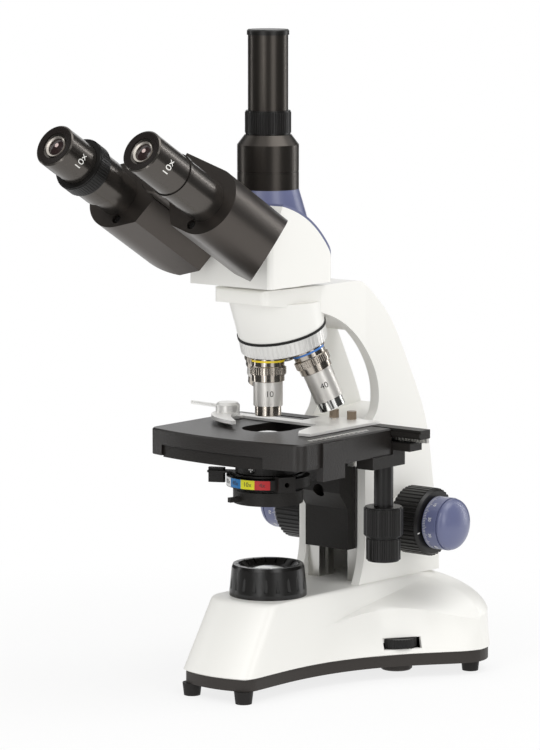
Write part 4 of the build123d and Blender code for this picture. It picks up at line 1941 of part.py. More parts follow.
def eyepiece():
    """Eyepiece with a dished eye end and a barrel for the tube."""
    with BuildPart() as solid:
        revolve(
            half_section(
                tube_frame,
                (EYEPIECE_LENS_R, EYEPIECE_DISH), (EYEPIECE_EYE_R, EYEPIECE_DISH * 0.6), (EYEPIECE_R - 2.4, 0),
                (EYEPIECE_R - EYEPIECE_EDGE, 0), (EYEPIECE_R, EYEPIECE_EDGE), (EYEPIECE_R, EYEPIECE_LENGTH),
                (EYEPIECE_BARREL_R, EYEPIECE_LENGTH), (EYEPIECE_BARREL_R, EYEPIECE_LENGTH + EYEPIECE_REACH),
                (EYEPIECE_BARREL_R - 2, EYEPIECE_LENGTH + EYEPIECE_REACH),
                (EYEPIECE_BARREL_R - 2, EYEPIECE_LENGTH - 4), (0, EYEPIECE_LENGTH - 4),
                (0, EYEPIECE_DISH + EYEPIECE_LENS_THICK), (EYEPIECE_LENS_R, EYEPIECE_DISH + EYEPIECE_LENS_THICK),
            ),
            turn_axis(tube_frame),
        )
    return solid.part


with BuildPart() as right_eyepiece:
    add(eyepiece())
right_eyepiece.part.label = "right_eyepiece"
export_step(right_eyepiece.part, "parts/right_eyepiece.step")

with BuildPart() as left_eyepiece:
    add(eyepiece())
    mirror(about=Plane.YZ, mode=Mode.REPLACE)
left_eyepiece.part.label = "left_eyepiece"
export_step(left_eyepiece.part, "parts/left_eyepiece.step")
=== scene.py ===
"""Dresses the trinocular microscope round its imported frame."""
import math

import bmesh
import bpy
from mathutils import Matrix, Vector


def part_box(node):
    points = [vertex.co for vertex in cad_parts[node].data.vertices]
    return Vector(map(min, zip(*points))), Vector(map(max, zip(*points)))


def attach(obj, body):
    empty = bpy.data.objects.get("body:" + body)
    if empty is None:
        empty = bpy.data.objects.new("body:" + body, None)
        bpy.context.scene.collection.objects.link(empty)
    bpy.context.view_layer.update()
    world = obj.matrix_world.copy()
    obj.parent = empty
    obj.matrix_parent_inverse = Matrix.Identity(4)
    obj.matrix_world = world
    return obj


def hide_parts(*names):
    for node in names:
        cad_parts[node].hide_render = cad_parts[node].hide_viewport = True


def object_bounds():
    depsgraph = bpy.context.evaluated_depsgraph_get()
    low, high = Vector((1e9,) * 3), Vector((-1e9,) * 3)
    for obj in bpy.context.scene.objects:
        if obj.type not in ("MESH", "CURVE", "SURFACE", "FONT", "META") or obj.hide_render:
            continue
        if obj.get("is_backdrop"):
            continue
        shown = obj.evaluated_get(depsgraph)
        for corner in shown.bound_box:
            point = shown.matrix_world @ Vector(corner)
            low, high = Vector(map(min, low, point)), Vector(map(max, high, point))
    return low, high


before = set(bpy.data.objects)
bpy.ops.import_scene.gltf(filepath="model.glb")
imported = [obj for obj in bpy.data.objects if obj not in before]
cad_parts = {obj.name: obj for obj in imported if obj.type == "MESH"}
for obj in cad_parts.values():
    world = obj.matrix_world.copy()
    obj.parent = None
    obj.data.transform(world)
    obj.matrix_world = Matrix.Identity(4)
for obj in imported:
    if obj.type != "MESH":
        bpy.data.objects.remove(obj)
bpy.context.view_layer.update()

MM = 0.001
X, Y, Z = Vector((1, 0, 0)), Vector((0, 1, 0)), Vector((0, 0, 1))
HANDS = (("right", 1), ("left", -1))

# The optical axis, read from the photo tube
tube_low, tube_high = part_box("photo_tube")
AXIS_Y = (tube_low.y + tube_high.y) / 2


def at(x, y, z):
    """Point in metres from millimetres measured round the optical axis."""
    return Vector((x * MM, AXIS_Y + y * MM, z * MM))


def place(origin, up, out):
    """Frame on a surface: its Y runs along up and its Z along out."""
    out = out.normalized()
    right = up.cross(out).normalized()
    up = out.cross(right)
    matrix = Matrix((right, up, out)).transposed().to_4x4()
    matrix.translation = origin
    return matrix


def linked(name, data):
    """Object that stands in the scene."""
    obj = bpy.data.objects.new(name, data)
    bpy.context.scene.collection.objects.link(obj)
    return obj


def mesh_from(name, bm):
    """Mesh of a finished bmesh, which is freed."""
    mesh = bpy.data.meshes.new(name)
    bm.to_mesh(mesh)
    bm.free()
    return mesh


def clamp(value):
    """Value kept between 0 and 1."""
    return max(0.0, min(1.0, value))


# Materials
COAT_ROUGH = 0.2
GRAIN_DETAIL, GRAIN_DEPTH = 2, 0.25


def linear(value):
    """Linear light of a colour step from 0 to 255, by the usual display curve."""
    value = value / 255
    return value / 12.92 if value <= 0.04045 else ((value + 0.055) / 1.055) ** 2.4


def plain(name, colour, rough):
    """Material of one linear colour, and its shader."""
    material = bpy.data.materials.new(name)
    material.use_nodes = True
    shader = material.node_tree.nodes["Principled BSDF"]
    shader.inputs["Base Color"].default_value = (*colour, 1)
    shader.inputs["Roughness"].default_value = rough
    return material, shader


def finish(name, colour, rough, metallic=0.0, grain=0.0, grain_mm=0.6, coat=0.0, specular=0.5):
    """Material of a display colour, with a fine grain in its surface when asked."""
    material, shader = plain(name, [linear(c) for c in colour], rough)
    shader.inputs["Metallic"].default_value = metallic
    shader.inputs["Coat Weight"].default_value = coat
    shader.inputs["Coat Roughness"].default_value = COAT_ROUGH
    shader.inputs["Specular IOR Level"].default_value = specular
    if grain:
        nodes, links = material.node_tree.nodes, material.node_tree.links
        coordinates = nodes.new("ShaderNodeTexCoord")
        noise = nodes.new("ShaderNodeTexNoise")
        noise.inputs["Scale"].default_value = 1 / (grain_mm * MM)
        noise.inputs["Detail"].default_value = GRAIN_DETAIL
        bump = nodes.new("ShaderNodeBump")
        bump.inputs["Strength"].default_value = grain
        bump.inputs["Distance"].default_value = grain_mm * MM * GRAIN_DEPTH
        links.new(coordinates.outputs["Object"], noise.inputs["Vector"])
        links.new(noise.outputs["Fac"], bump.inputs["Height"])
        links.new(bump.outputs["Normal"], shader.inputs["Normal"])
    return material


white_enamel = finish("white_enamel", (238, 237, 232), 0.42, coat=0.15)
blue_enamel = finish("blue_enamel", (98, 103, 136), 0.32, coat=0.2)
black_cast = finish("black_cast", (30, 28, 26), 0.42, grain=0.7, grain_mm=1.0, specular=0.25)
black_stage = finish("black_stage", (30, 27, 25), 0.36, grain=0.7, grain_mm=1.0, specular=0.5)
black_anodised = finish("black_anodised", (86, 81, 77), 0.33, metallic=0.9, grain=0.12, grain_mm=0.5,
                        specular=0.4)
eyepiece_black = finish("eyepiece_black", (88, 84, 80), 0.22, metallic=0.85, specular=0.5)
eye_face = finish("eye_face", (26, 21, 19), 0.35, specular=0.25)
black_plastic = finish("black_plastic", (22, 21, 20), 0.34, specular=0.35)
black_gloss = finish("black_gloss", (20, 19, 18), 0.27, specular=0.45)
black_tube = finish("black_tube", (70, 66, 62), 0.3, metallic=0.85, specular=0.4)
grey_pan = finish("grey_pan", (52, 48, 45), 0.5, grain=0.2, grain_mm=0.8, specular=0.3)
rubber = finish("rubber", (32, 30, 29), 0.6, specular=0.25)
# Near-black finish for painted shade in the nosepiece's hollow
painted_hollow_shade = finish("painted_hollow_shade", (12, 11, 10), 0.7)
steel = finish("steel", (205, 204, 200), 0.3, metallic=1.0)
chrome = finish("chrome", (222, 222, 220), 0.12, metallic=1.0)
ring_metal = finish("ring_metal", (232, 231, 228), 0.4, metallic=0.75)
nickel = finish("nickel", (186, 178, 168), 0.16, metallic=1.0)
sleeve_satin = finish("sleeve_satin", (222, 219, 214), 0.4, metallic=0.8)
plate_satin = finish("plate_satin", (240, 239, 236), 0.36, metallic=0.5)
brass_brown = finish("brass_brown", (150, 136, 120), 0.36, metallic=1.0)
lens_white = finish("lens_white", (240, 242, 240), 0.08, coat=0.6)
lens_dark = finish("lens_dark", (40, 28, 28), 0.08, coat=0.6, specular=0.3)
lens_glint = finish("lens_glint", (196, 176, 172), 0.4)
ring_bright = finish("ring_bright", (190, 184, 176), 0.3, metallic=0.8)
mark_white = finish("mark_white", (232, 231, 226), 0.5)
mark_black = finish("mark_black", (40, 38, 38), 0.5)
band_yellow = finish("band_yellow", (232, 204, 30), 0.4)
band_blue = finish("band_blue", (62, 118, 190), 0.4)
band_red = finish("band_red", (190, 32, 36), 0.4)
plate_white = finish("plate_white", (235, 236, 236), 0.4)
plate_blue = finish("plate_blue", (0, 112, 178), 0.4)
plate_yellow = finish("plate_yellow", (222, 218, 20), 0.4)
plate_red = finish("plate_red", (190, 22, 30), 0.4)

NODE_FINISH = {
    "base_shell": white_enamel, "arm": white_enamel, "nosepiece_housing": white_enamel,
    "head_body": white_enamel, "head_cover": blue_enamel, "fine_focus": blue_enamel,
    "base_plate": grey_pan, "feet": rubber, "access_cap": grey_pan, "base_screws": steel,
    "lamp_housing": black_gloss, "field_lens": lens_white, "led_lamp": sleeve_satin,
    "dimmer": black_plastic, "brightness_dial": black_plastic, "switch_frame": black_plastic,
    "switch_rocker": black_plastic, "power_inlet": black_plastic, "guide_rails": steel,
    "focus_bushes": steel, "coarse_shaft": steel, "coarse_knobs": black_plastic,
    "stage_carrier": black_cast, "carrier_racks": steel, "stage_base": black_cast,
    "stage_top": black_stage, "condenser_holder": black_cast, "condenser_body": black_cast,
    "condenser_lens": lens_white, "iris_lever": black_cast, "filter_holder": black_cast,
    "stage_carriage": black_cast, "x_rail": black_cast, "x_rack": steel, "y_drive": black_plastic,
    "x_drive": black_plastic, "slide_holder": plate_satin, "holder_screws": brass_brown,
    "clip_finger": plate_satin, "turret": ring_metal, "stand_bolts": steel,
    "objective_4x": nickel, "objective_10x": nickel, "objective_40x": nickel,
    "objective_100x": nickel, "tip_40x": chrome, "tip_100x": chrome, "hinge_drum": black_anodised,
    "photo_port": black_tube, "photo_ring": black_plastic, "photo_tube": black_tube,
    "photo_cap": black_plastic, "right_wing": black_anodised, "left_wing": black_anodised,
    "right_tube": eyepiece_black, "left_tube": eyepiece_black, "right_eyepiece": eyepiece_black,
    "left_eyepiece": eyepiece_black, "dioptre_ring": black_plastic,
}
for name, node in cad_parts.items():
    node.data.materials.clear()
    node.data.materials.append(NODE_FINISH[name])


# Helpers that build thin pieces on flat or round surfaces, all sizes in millimetres
MARK_THICK, MARK_STEP = 0.05, 0.6
LETTER_THICK, LETTER_LIFT, LETTER_STRIP = 0.03, 0.03, 0.5
ROUND_STEPS, SMALL_STEPS = 64, 32
TURNED_SHARP = math.radians(35)


def on_surface(matrix, radius, x, y, z):
    """Point on a flat face, or wrapped round the frame's Y axis when a radius is given."""
    if radius is None:
        return matrix @ Vector((x, y, z))
    angle = x / radius
    return matrix @ Vector(((radius + z) * math.sin(angle), y, (radius + z) * math.cos(angle)))


def piece(name, mesh, body, material):
    """Object from a mesh that rides on a body."""
    obj = linked(name, mesh)
    mesh.materials.append(material)
    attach(obj, body)
    return obj


def patches(name, boxes, matrix, radius, body, material, thick=MARK_THICK):
    """Thin raised marks, each (left, right, low, high) on the surface."""
    bm = bmesh.new()
    size = None if radius is None else radius * MM
    for left, right, low, high in boxes:
        count = 1 if radius is None else max(1, math.ceil((right - left) / MARK_STEP))
        rows = []
        for k in range(count + 1):
            x = (left + (right - left) * k / count) * MM
            corners = [(low, 0.0), (high, 0.0), (high, thick), (low, thick)]
            rows.append([
                bm.verts.new(on_surface(matrix, size, x, y * MM, z * MM)) for y, z in corners
            ])
        for first, second in zip(rows, rows[1:]):
            for i in range(4):
                j = (i + 1) % 4
                bm.faces.new((first[i], first[j], second[j], second[i]))
        bm.faces.new(rows[0][::-1])
        bm.faces.new(rows[-1])
    bmesh.ops.recalc_face_normals(bm, faces=bm.faces)
    piece(name, mesh_from(name, bm), body, material)


def final_mesh(obj):
    """New mesh of an object as its curve or modifiers shape it."""
    bpy.context.view_layer.update()
    return bpy.data.meshes.new_from_object(obj.evaluated_get(bpy.context.evaluated_depsgraph_get()))


def lettering(name, words, size, matrix, radius, body, material):
    """Plain figures printed on a flat or round surface, centred on the frame's origin."""
    curve = bpy.data.curves.new(name + "_curve", "FONT")
    curve.body = words
    curve.size = size * MM
    curve.align_x = "CENTER"
    curve.align_y = "CENTER"
    curve.extrude = LETTER_THICK * MM
    source = linked(name + "_source", curve)
    mesh = final_mesh(source)
    bpy.data.objects.remove(source)
    bpy.data.curves.remove(curve)
    mesh.name = name
    if radius is not None:
        bm = bmesh.new()
        bm.from_mesh(mesh)
        reach = max(abs(v.co.x) for v in bm.verts)
        cut = -reach
        while cut < reach:
            geometry = list(bm.verts) + list(bm.edges) + list(bm.faces)
            bmesh.ops.bisect_plane(bm, geom=geometry, plane_co=(cut, 0, 0), plane_no=(1, 0, 0))
            cut += LETTER_STRIP * MM
        bm.to_mesh(mesh)
        bm.free()
    wrap = None if radius is None else radius * MM
    for vertex in mesh.vertices:
        x, y, z = vertex.co
        vertex.co = on_surface(matrix, wrap, x, y, z + LETTER_LIFT * MM)
    mesh.materials.clear()
    piece(name, mesh, body, material)


def collar(inner, outer, low, high):
    """Profile of a plain ring between two heights."""
    return [(inner, low), (outer, low), (outer, high), (inner, high)]


def lathe(name, matrix, profile, body, material, steps=ROUND_STEPS):
    """Turned piece round the frame's Z axis from (radius, height) points."""
    bm = bmesh.new()
    rings = []
    for radius, height in profile:
        if radius == 0:
            rings.append([bm.verts.new(matrix @ Vector((0, 0, height * MM)))])
        else:
            rings.append([
                bm.verts.new(matrix @ Vector((
                    radius * MM * math.cos(2 * math.pi * k / steps),
                    radius * MM * math.sin(2 * math.pi * k / steps), height * MM)))
                for k in range(steps)
            ])
    pairs = list(zip(rings, rings[1:]))
    if len(rings[0]) > 1:
        pairs.append((rings[-1], rings[0]))
    for first, second in pairs:
        for k in range(steps):
            n = (k + 1) % steps
            if len(first) == 1 and len(second) > 1:
                bm.faces.new((first[0], second[k], second[n]))
            elif len(second) == 1 and len(first) > 1:
                bm.faces.new((first[k], second[0], first[n]))
            elif len(first) > 1:
                bm.faces.new((first[k], second[k], second[n], first[n]))
    bmesh.ops.recalc_face_normals(bm, faces=bm.faces)
    mesh = mesh_from(name, bm)
    piece(name, mesh, body, material)
    mesh.shade_smooth()
    mesh.set_sharp_from_angle(angle=TURNED_SHARP)


# Base shell: a smooth body whose side wall leans in, with a fender that opens towards the rear
BASE_FRONT, BASE_REAR, BASE_FOOT, BASE_TOP = -62.0, 157.0, 17.2, 63.0
BASE_NEAR, BASE_FAR, BASE_BOW = 30.0, 89.0, 4.5
TOP_FRONT, TOP_REAR, TOP_NEAR, TOP_FAR = -33.5, 150.0, 28.4, 34.0
NECK_Y, WAIST_Y, FLARE_Y, HIP_Y = -23.0, 75.0, 98.0, 122.0
TOP_NECK_Y, MIDDLE_Y = -10.0, 60
CORNER_RUN, TOP_CORNER_RUN = 14.0, 13.0
CORNER_SHARE, REAR_TURN, REAR_PULL, FLARE_IN = 0.38, 0.52, 0.43, 2
SHELL_WALL, TOP_ROUND = 3.0, 3.2
SHELL_SHARP = math.radians(28)

# Stations round half the plan, from the middle of the front to the middle of the rear
FRONT_STEPS, CORNER_STEPS, NECK_STEPS, HIP_STEPS, TURN_STEPS, REAR_STEPS = 8, 8, 4, 32, 14, 6
HIP_START = FRONT_STEPS + CORNER_STEPS + NECK_STEPS
HIP_END = HIP_START + HIP_STEPS
PLAN_END = HIP_END + TURN_STEPS + REAR_STEPS

# Rows up the wall: its crease and the fender's shoulder, which open along the hip.
# Shares count up the wall or along the hip, and the points are in millimetres.
PLAIN_CREASE, PLAIN_SHOULDER = 0.47, 0.53
EASE_SHARE, OPEN_SHARE, LATE_SHARE = 0.3, 0.12, 0.8
LEAN_POWER = 1.6
SWELL_OUT, SWELL_UP, SWELL_LATE = 0.2, 0.14, 0.14
REAR_CREASE_Z, REAR_CREASE_RISE, REAR_CREASE_RATE = 39.6, 6.4, 1.8
REAR_CREASE_SHARE, REAR_CREASE_IN = 0.985, 1.2
SHOULDER_OUT, SHOULDER_BACK, SHOULDER_LAST_Y, SHOULDER_Z = 6, 3, 153, 60
WALL_STEPS, FENDER_STEPS, SIDE_STEPS, BROW_STEPS = 8, 10, 4, 5
CREASE = (
    (29.4, 16, 39), (30.9, 35, 42), (36, 55, 45), (41, 70, 46), (50, 81, 47),
    (58.5, 92, 45.5), (69, 101, 43), (77, 110, 40.5), (83.5, 116.5, 39), (87.6, 122, 39.6),
)
SHOULDER = ((29.4, 17, 39.6), (31, 48, 45), (34.5, 80, 52), (38.5, 105, 57.5), (40, 128, 60))


def bezier(points, share):
    """Point on the curve with the given control points."""
    points = [Vector(p) for p in points]
    while len(points) > 1:
        points = [a.lerp(b, share) for a, b in zip(points, points[1:])]
    return points[0]


def through(points, share):
    """Point on a smooth curve that runs through the points."""
    points = [Vector(p) for p in points]
    spot = share * (len(points) - 1)
    k = min(int(spot), len(points) - 2)
    t = spot - k
    before = points[k - 1] if k else points[0] * 2 - points[1]
    after = points[k + 2] if k + 2 < len(points) else points[-1] * 2 - points[-2]
    here, there = points[k], points[k + 1]
    return 0.5 * (2 * here + (there - before) * t + (2 * before - 5 * here + 4 * there - after) * t * t
                  + (3 * here - before - 3 * there + after) * t ** 3)


def hip(near, far, neck, share):
    """Point along the waisted side."""
    return bezier(((near, neck), (near, WAIST_Y), (far - FLARE_IN, FLARE_Y), (far, HIP_Y)), share)


def half_plan(near, far, front, rear, corner, neck):
    """Right half of a plan of the base, from the middle of the front to the middle of the rear."""
    bow = near - corner * CORNER_SHARE
    turn = far * REAR_TURN
    pull = turn * REAR_PULL
    bow_y = front + BASE_BOW
    corner_curve = ((bow, bow_y), (near, bow_y + BASE_BOW / 2), (near, front + corner))
    neck_line = ((near, front + corner), (near, neck))
    turn_curve = ((far, HIP_Y), (far, HIP_Y + pull), (far - pull, rear), (far - turn, rear))
    rear_line = ((far - turn, rear), (0, rear))
    spots = [
        Vector((bow * k / FRONT_STEPS, front + BASE_BOW * (k / FRONT_STEPS) ** 2))
        for k in range(FRONT_STEPS)
    ]
    spots += [bezier(corner_curve, k / CORNER_STEPS) for k in range(CORNER_STEPS)]
    spots += [bezier(neck_line, k / NECK_STEPS) for k in range(NECK_STEPS)]
    spots += [hip(near, far, neck, k / HIP_STEPS) for k in range(HIP_STEPS)]
    spots += [bezier(turn_curve, k / TURN_STEPS) for k in range(TURN_STEPS)]
    spots += [bezier(rear_line, k / REAR_STEPS) for k in range(REAR_STEPS + 1)]
    return spots


foot_plan = half_plan(BASE_NEAR, BASE_FAR, BASE_FRONT, BASE_REAR, CORNER_RUN, NECK_Y)
edge_plan = half_plan(TOP_NEAR, TOP_FAR, TOP_FRONT, TOP_REAR, TOP_CORNER_RUN, TOP_NECK_Y)


def base_profile(k):
    """Points up the wall, over the fender and round the top edge at one station of the plan."""
    foot = foot_plan[k].to_3d() + Z * BASE_FOOT
    edge = edge_plan[k].to_3d() + Z * BASE_TOP
    plain_low, plain_high = foot.lerp(edge, PLAIN_CREASE), foot.lerp(edge, PLAIN_SHOULDER)
    share = (k - HIP_START) / HIP_STEPS
    ease = clamp(share / EASE_SHARE)
    if share <= 0:
        crease, shoulder = plain_low, plain_high
    elif share <= 1:
        opened = clamp((share - OPEN_SHARE) / (1 - OPEN_SHARE))
        crease = plain_low.lerp(through(CREASE, opened), ease)
        shoulder = plain_high.lerp(through(SHOULDER, opened), ease)
    else:
        past = (k - HIP_END) / (PLAN_END - HIP_END)
        inside = foot_plan[k].to_3d()
        crease = Vector((
            inside.x * REAR_CREASE_SHARE,
            inside.y - REAR_CREASE_IN,
            REAR_CREASE_Z + REAR_CREASE_RISE * min(1.0, past * REAR_CREASE_RATE),
        ))
        out = SHOULDER_OUT * (1 - past)
        shoulder = Vector((
            edge.x + out,
            min(edge.y + out + SHOULDER_BACK * past, SHOULDER_LAST_Y),
            SHOULDER_Z,
        ))
    wall = []
    for step in range(WALL_STEPS + 1):
        rise = step / WALL_STEPS
        lean = rise + (1 - (1 - rise) ** LEAN_POWER - rise) * ease
        wall.append(Vector((
            foot.x + (crease.x - foot.x) * lean,
            foot.y + (crease.y - foot.y) * lean,
            foot.z + (crease.z - foot.z) * rise,
        )))
    late = clamp((share - LATE_SHARE) / (1 - LATE_SHARE))
    swell = crease.lerp(shoulder, 0.5 - SWELL_OUT * ease - SWELL_LATE * late)
    swell.z = crease.z + (shoulder.z - crease.z) * (0.5 + SWELL_UP * ease + SWELL_LATE * late)
    fender = [
        bezier((crease, swell, shoulder), step / FENDER_STEPS) for step in range(1, FENDER_STEPS + 1)
    ]
    drop = (edge - shoulder).length
    below = shoulder.lerp(edge, max(0.0, 1 - TOP_ROUND / max(TOP_ROUND, drop)))
    inward = Vector((-edge.x, MIDDLE_Y - edge.y, 0)).normalized() * TOP_ROUND
    side = [shoulder.lerp(below, step / SIDE_STEPS) for step in range(1, SIDE_STEPS)]
    brow = [bezier((below, edge, edge + inward), step / BROW_STEPS) for step in range(BROW_STEPS + 1)]
    return wall + fender + side + brow


# The rear wall is flat across its middle, so the last two stations are left out there
bm = bmesh.new()
right_half = [base_profile(k) for k in range(PLAN_END - 1)]
left_half = [[Vector((-p.x, p.y, p.z)) for p in row] for row in right_half[-2:0:-1]]
stations = right_half + left_half
rows = [[bm.verts.new(at(p.x, p.y, p.z)) for p in row] for row in stations]
for first, second in zip(rows, rows[1:] + rows[:1]):
    for a, b, c, d in zip(first, first[1:], second[1:], second):
        bm.faces.new((a, d, c, b))
bm.faces.new([row[-1] for row in rows])
bmesh.ops.recalc_face_normals(bm, faces=bm.faces)
shell_mesh = mesh_from("smooth_shell", bm)


def cutter(kind, matrix, *size):
    """Helper solid that is cut out of a piece and then removed."""
    bm = bmesh.new()
    if kind == "box":
        scale = Matrix.Diagonal((*[v * MM for v in size], 1))
        bmesh.ops.create_cube(bm, size=1, matrix=matrix @ scale)
    else:
        radius, depth = size
        bmesh.ops.create_cone(bm, cap_ends=True, segments=ROUND_STEPS, radius1=radius * MM,
                              radius2=radius * MM, depth=depth * MM, matrix=matrix)
    return linked("cutter", mesh_from("cutter", bm))


shell = piece("smooth_shell", shell_mesh, "stand", white_enamel)
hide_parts("base_shell")
wall = shell.modifiers.new("wall", "SOLIDIFY")
wall.thickness = SHELL_WALL * MM
wall.offset = -1
dial_low, dial_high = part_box("brightness_dial")
dial_centre = (dial_low + dial_high) / 2

# Holes in the shell for the lamp housing, the dial, the switch and the power inlet
LAMP_HOLE_R, LAMP_HOLE_DEEP = 19.6, 20.0
DIAL_SLOT, SLOT_TRIES = (27.0, 7.6, 14.0), 200
SWITCH_X, INLET_X, SOCKET_Z = 34, -34, 31
SWITCH_HOLE, INLET_HOLE = (13.0, 19.0, 12.0), (5.6, 12.0)
wall_spots = [
    at(*hip(BASE_NEAR, BASE_FAR, NECK_Y, k / SLOT_TRIES), dial_centre.z / MM)
    for k in range(SLOT_TRIES + 1)
]
slot_spot = min(wall_spots, key=lambda p: (p - dial_centre).length)
slot_out = (slot_spot - dial_centre).normalized()
cutters = [
    cutter("round", place(at(0, 0, BASE_TOP), Y, Z), LAMP_HOLE_R, LAMP_HOLE_DEEP),
    cutter("box", place(slot_spot, Z, slot_out), *DIAL_SLOT),
    cutter("box", place(at(SWITCH_X, BASE_REAR, SOCKET_Z), Z, Y), *SWITCH_HOLE),
    cutter("round", place(at(INLET_X, BASE_REAR, SOCKET_Z), Z, Y), *INLET_HOLE),
]
for tool in cutters:
    cut = shell.modifiers.new("cut", "BOOLEAN")
    cut.operation = "DIFFERENCE"
    cut.solver = "EXACT"
    cut.object = tool
shell_mesh = final_mesh(shell)
shell.modifiers.clear()
shell.data = shell_mesh
for tool in cutters:
    bpy.data.objects.remove(tool)
shell.data.shade_smooth()
shell.data.set_sharp_from_angle(angle=SHELL_SHARP)

# Stage: millimetre scale along the right edge, each tick given by its length and half width
SCALE_X, SCALE_FRONT, SCALE_REAR, STAGE_TOP = 55.2, -27, 35, 175.5
LONG_TICK, SHORT_TICK, LONG_EVERY = (4.2, 0.4), (2.0, 0.15), 5
stage_place = place(at(0, 0, STAGE_TOP), Y, Z)
ticks = []
for k in range(SCALE_REAR - SCALE_FRONT + 1):
    y = SCALE_FRONT + k
    reach, half = SHORT_TICK if k % LONG_EVERY else LONG_TICK
    ticks.append((SCALE_X, SCALE_X + reach, y - half, y + half))
patches("stage_scale", ticks, stage_place, None, "table", mark_white)

# Condenser: four coloured stops on the holder ring
RING_R, BAND_LOW, BAND_HIGH = 28.0, 138.0, 144.1
BAND_START, BAND_STEP = -134.6, 21.6
BAND_THICK, STOP_LETTER = 0.12, 4.2
STOPS = (("100", plate_white), ("40", plate_blue), ("10", plate_yellow), ("4", plate_red))
for k, (stop, material) in enumerate(STOPS):
    middle = math.radians(BAND_START + BAND_STEP * (k + 0.5))
    out = Vector((math.cos(middle), math.sin(middle), 0))
    here = place(at(0, 0, (BAND_LOW + BAND_HIGH) / 2), Z, out)
    half = RING_R * math.radians(BAND_STEP) / 2
    tall = (BAND_HIGH - BAND_LOW) / 2
    patches("stop_plate_" + stop, [(-half, half, -tall, tall)], here, RING_R, "carrier", material,
            thick=BAND_THICK)
    lettering("stop_mark_" + stop, stop + "x", STOP_LETTER, here, RING_R + BAND_THICK, "carrier",
              mark_black)

# Objectives: colour band, satin sleeve and power on each
TILT = math.radians(17)
SEAT_Z, TURRET_REACH = 222.7, 19
turret_up = Vector((0, -math.sin(TILT), math.cos(TILT)))
turret_centre = at(0, TURRET_REACH * math.cos(TILT), SEAT_Z + TURRET_REACH * math.sin(TILT))
COLOUR_BAND = (10.8, 11.06, 0.7, 2.0)
SLEEVE_TOP, SLEEVE_END, SLEEVE_IN, SLEEVE_R = 15.0, 7.0, 9.6, 9.82
POWER_LETTER, POWER_TURN = 5.6, math.radians(45)
OBJECTIVES = (
    ("10", 0, 38.4, band_yellow),
    ("40", 90, 43.0, band_blue),
    ("100", 180, 44.6, plate_white),
    ("4", 270, 29.0, band_red),
)
to_eye = Vector((math.sin(POWER_TURN), -math.cos(POWER_TURN), 0))
for power, turn, length, material in OBJECTIVES:
    spin = Matrix.Rotation(math.radians(turn), 4, turret_up)
    seat = turret_centre + (spin @ (at(0, 0, SEAT_Z) - turret_centre))
    down = spin @ -Z
    axis = place(seat, spin @ X, down)
    sleeve_low = length - SLEEVE_END
    lathe("objective_band_" + power, axis, collar(*COLOUR_BAND), "nosepiece", material)
    lathe("objective_sleeve_" + power, axis, collar(SLEEVE_IN, SLEEVE_R, SLEEVE_TOP, sleeve_low),
          "nosepiece", sleeve_satin)
    out = to_eye - down * to_eye.dot(down)
    middle = seat + down * ((SLEEVE_TOP + sleeve_low) / 2) * MM
    lettering("objective_mark_" + power, power, POWER_LETTER, place(middle, -down, out), SLEEVE_R,
              "nosepiece", mark_black)

# Nosepiece: painted shade, a thin near-black band laid over the knurled ring where its hollow lies in
# shade
HOLLOW_SHADE = (29.65, 30.15, 12.9, 14.7)
lathe("nosepiece_hollow_shade", place(turret_centre, X, turret_up), collar(*HOLLOW_SHADE), "nosepiece", painted_hollow_shade)

# Condenser: cross-head screw in the holder's neck
SCREW_TURN, SCREW_Z, SCREW_SEAT = math.radians(-81.0), 150.4, 21.8
SCREW_HIGH, CROSS_THICK = 1.2, 0.04
SCREW_PROFILE = ((0, SCREW_HIGH), (2.3, SCREW_HIGH), (3.0, 0.6), (3.0, 0), (0, 0))
CROSS = ((-1.7, 1.7, -0.35, 0.35), (-0.35, 0.35, -1.7, 1.7))
screw_out = Vector((math.cos(SCREW_TURN), math.sin(SCREW_TURN), 0))
screw_place = place(at(0, 0, SCREW_Z) + screw_out * SCREW_SEAT * MM, Z, screw_out)
lathe("condenser_screw", screw_place, SCREW_PROFILE, "carrier", black_gloss,
      steps=SMALL_STEPS)
screw_face = screw_place.copy()
screw_face.translation = screw_place @ Vector((0, 0, SCREW_HIGH * MM))
patches("condenser_screw_cross", CROSS, screw_face, None, "carrier", steel,
        thick=CROSS_THICK)

# Eyepieces: face, bright ring, lens, glint and power, and the set screw of each tube.
# The profiles are (radius, depth) from the eyepiece's face, and (radius, height) on the wing's face.
SLOPE, WING_TURN, WING_REACH = math.radians(30), math.radians(16.3), 38
EYE_Y, EYE_Z = -170, 372.8
EYE_DISH = ((8.9, 0.3), (12.6, -0.09), (12.6, 0.6), (8.9, 0.9))
EYE_RING = ((5.9, 1.9), (7.1, 1.2), (7.1, 2.4), (5.9, 2.6))
EYE_LENS = ((0, 1.5), (3.0, 1.7), (5.95, 2.8), (5.95, 3.2), (0, 3.2))
EYE_GLINT, GLINT_UP, GLINT_RIGHT = ((0, 1.36), (1.4, 1.42), (1.4, 1.7), (0, 1.7)), 0.9, 0.4
SET_SCREW = ((0, 0.5), (1.1, 0.6), (1.3, 1.2), (2.0, 1.2), (2.5, 0.8), (2.5, 0), (0, 0))
SET_SCREW_SEAT, SET_SCREW_DOWN = 73.8, 17.5
EYE_MARK_TURN, EYE_MARK_DEEP, EYE_MARK_R, EYE_LETTER = math.radians(16), 14.0, 14.25, 7.4
along = Vector((0, math.cos(SLOPE), -math.sin(SLOPE)))
over = Vector((0, math.sin(SLOPE), math.cos(SLOPE)))
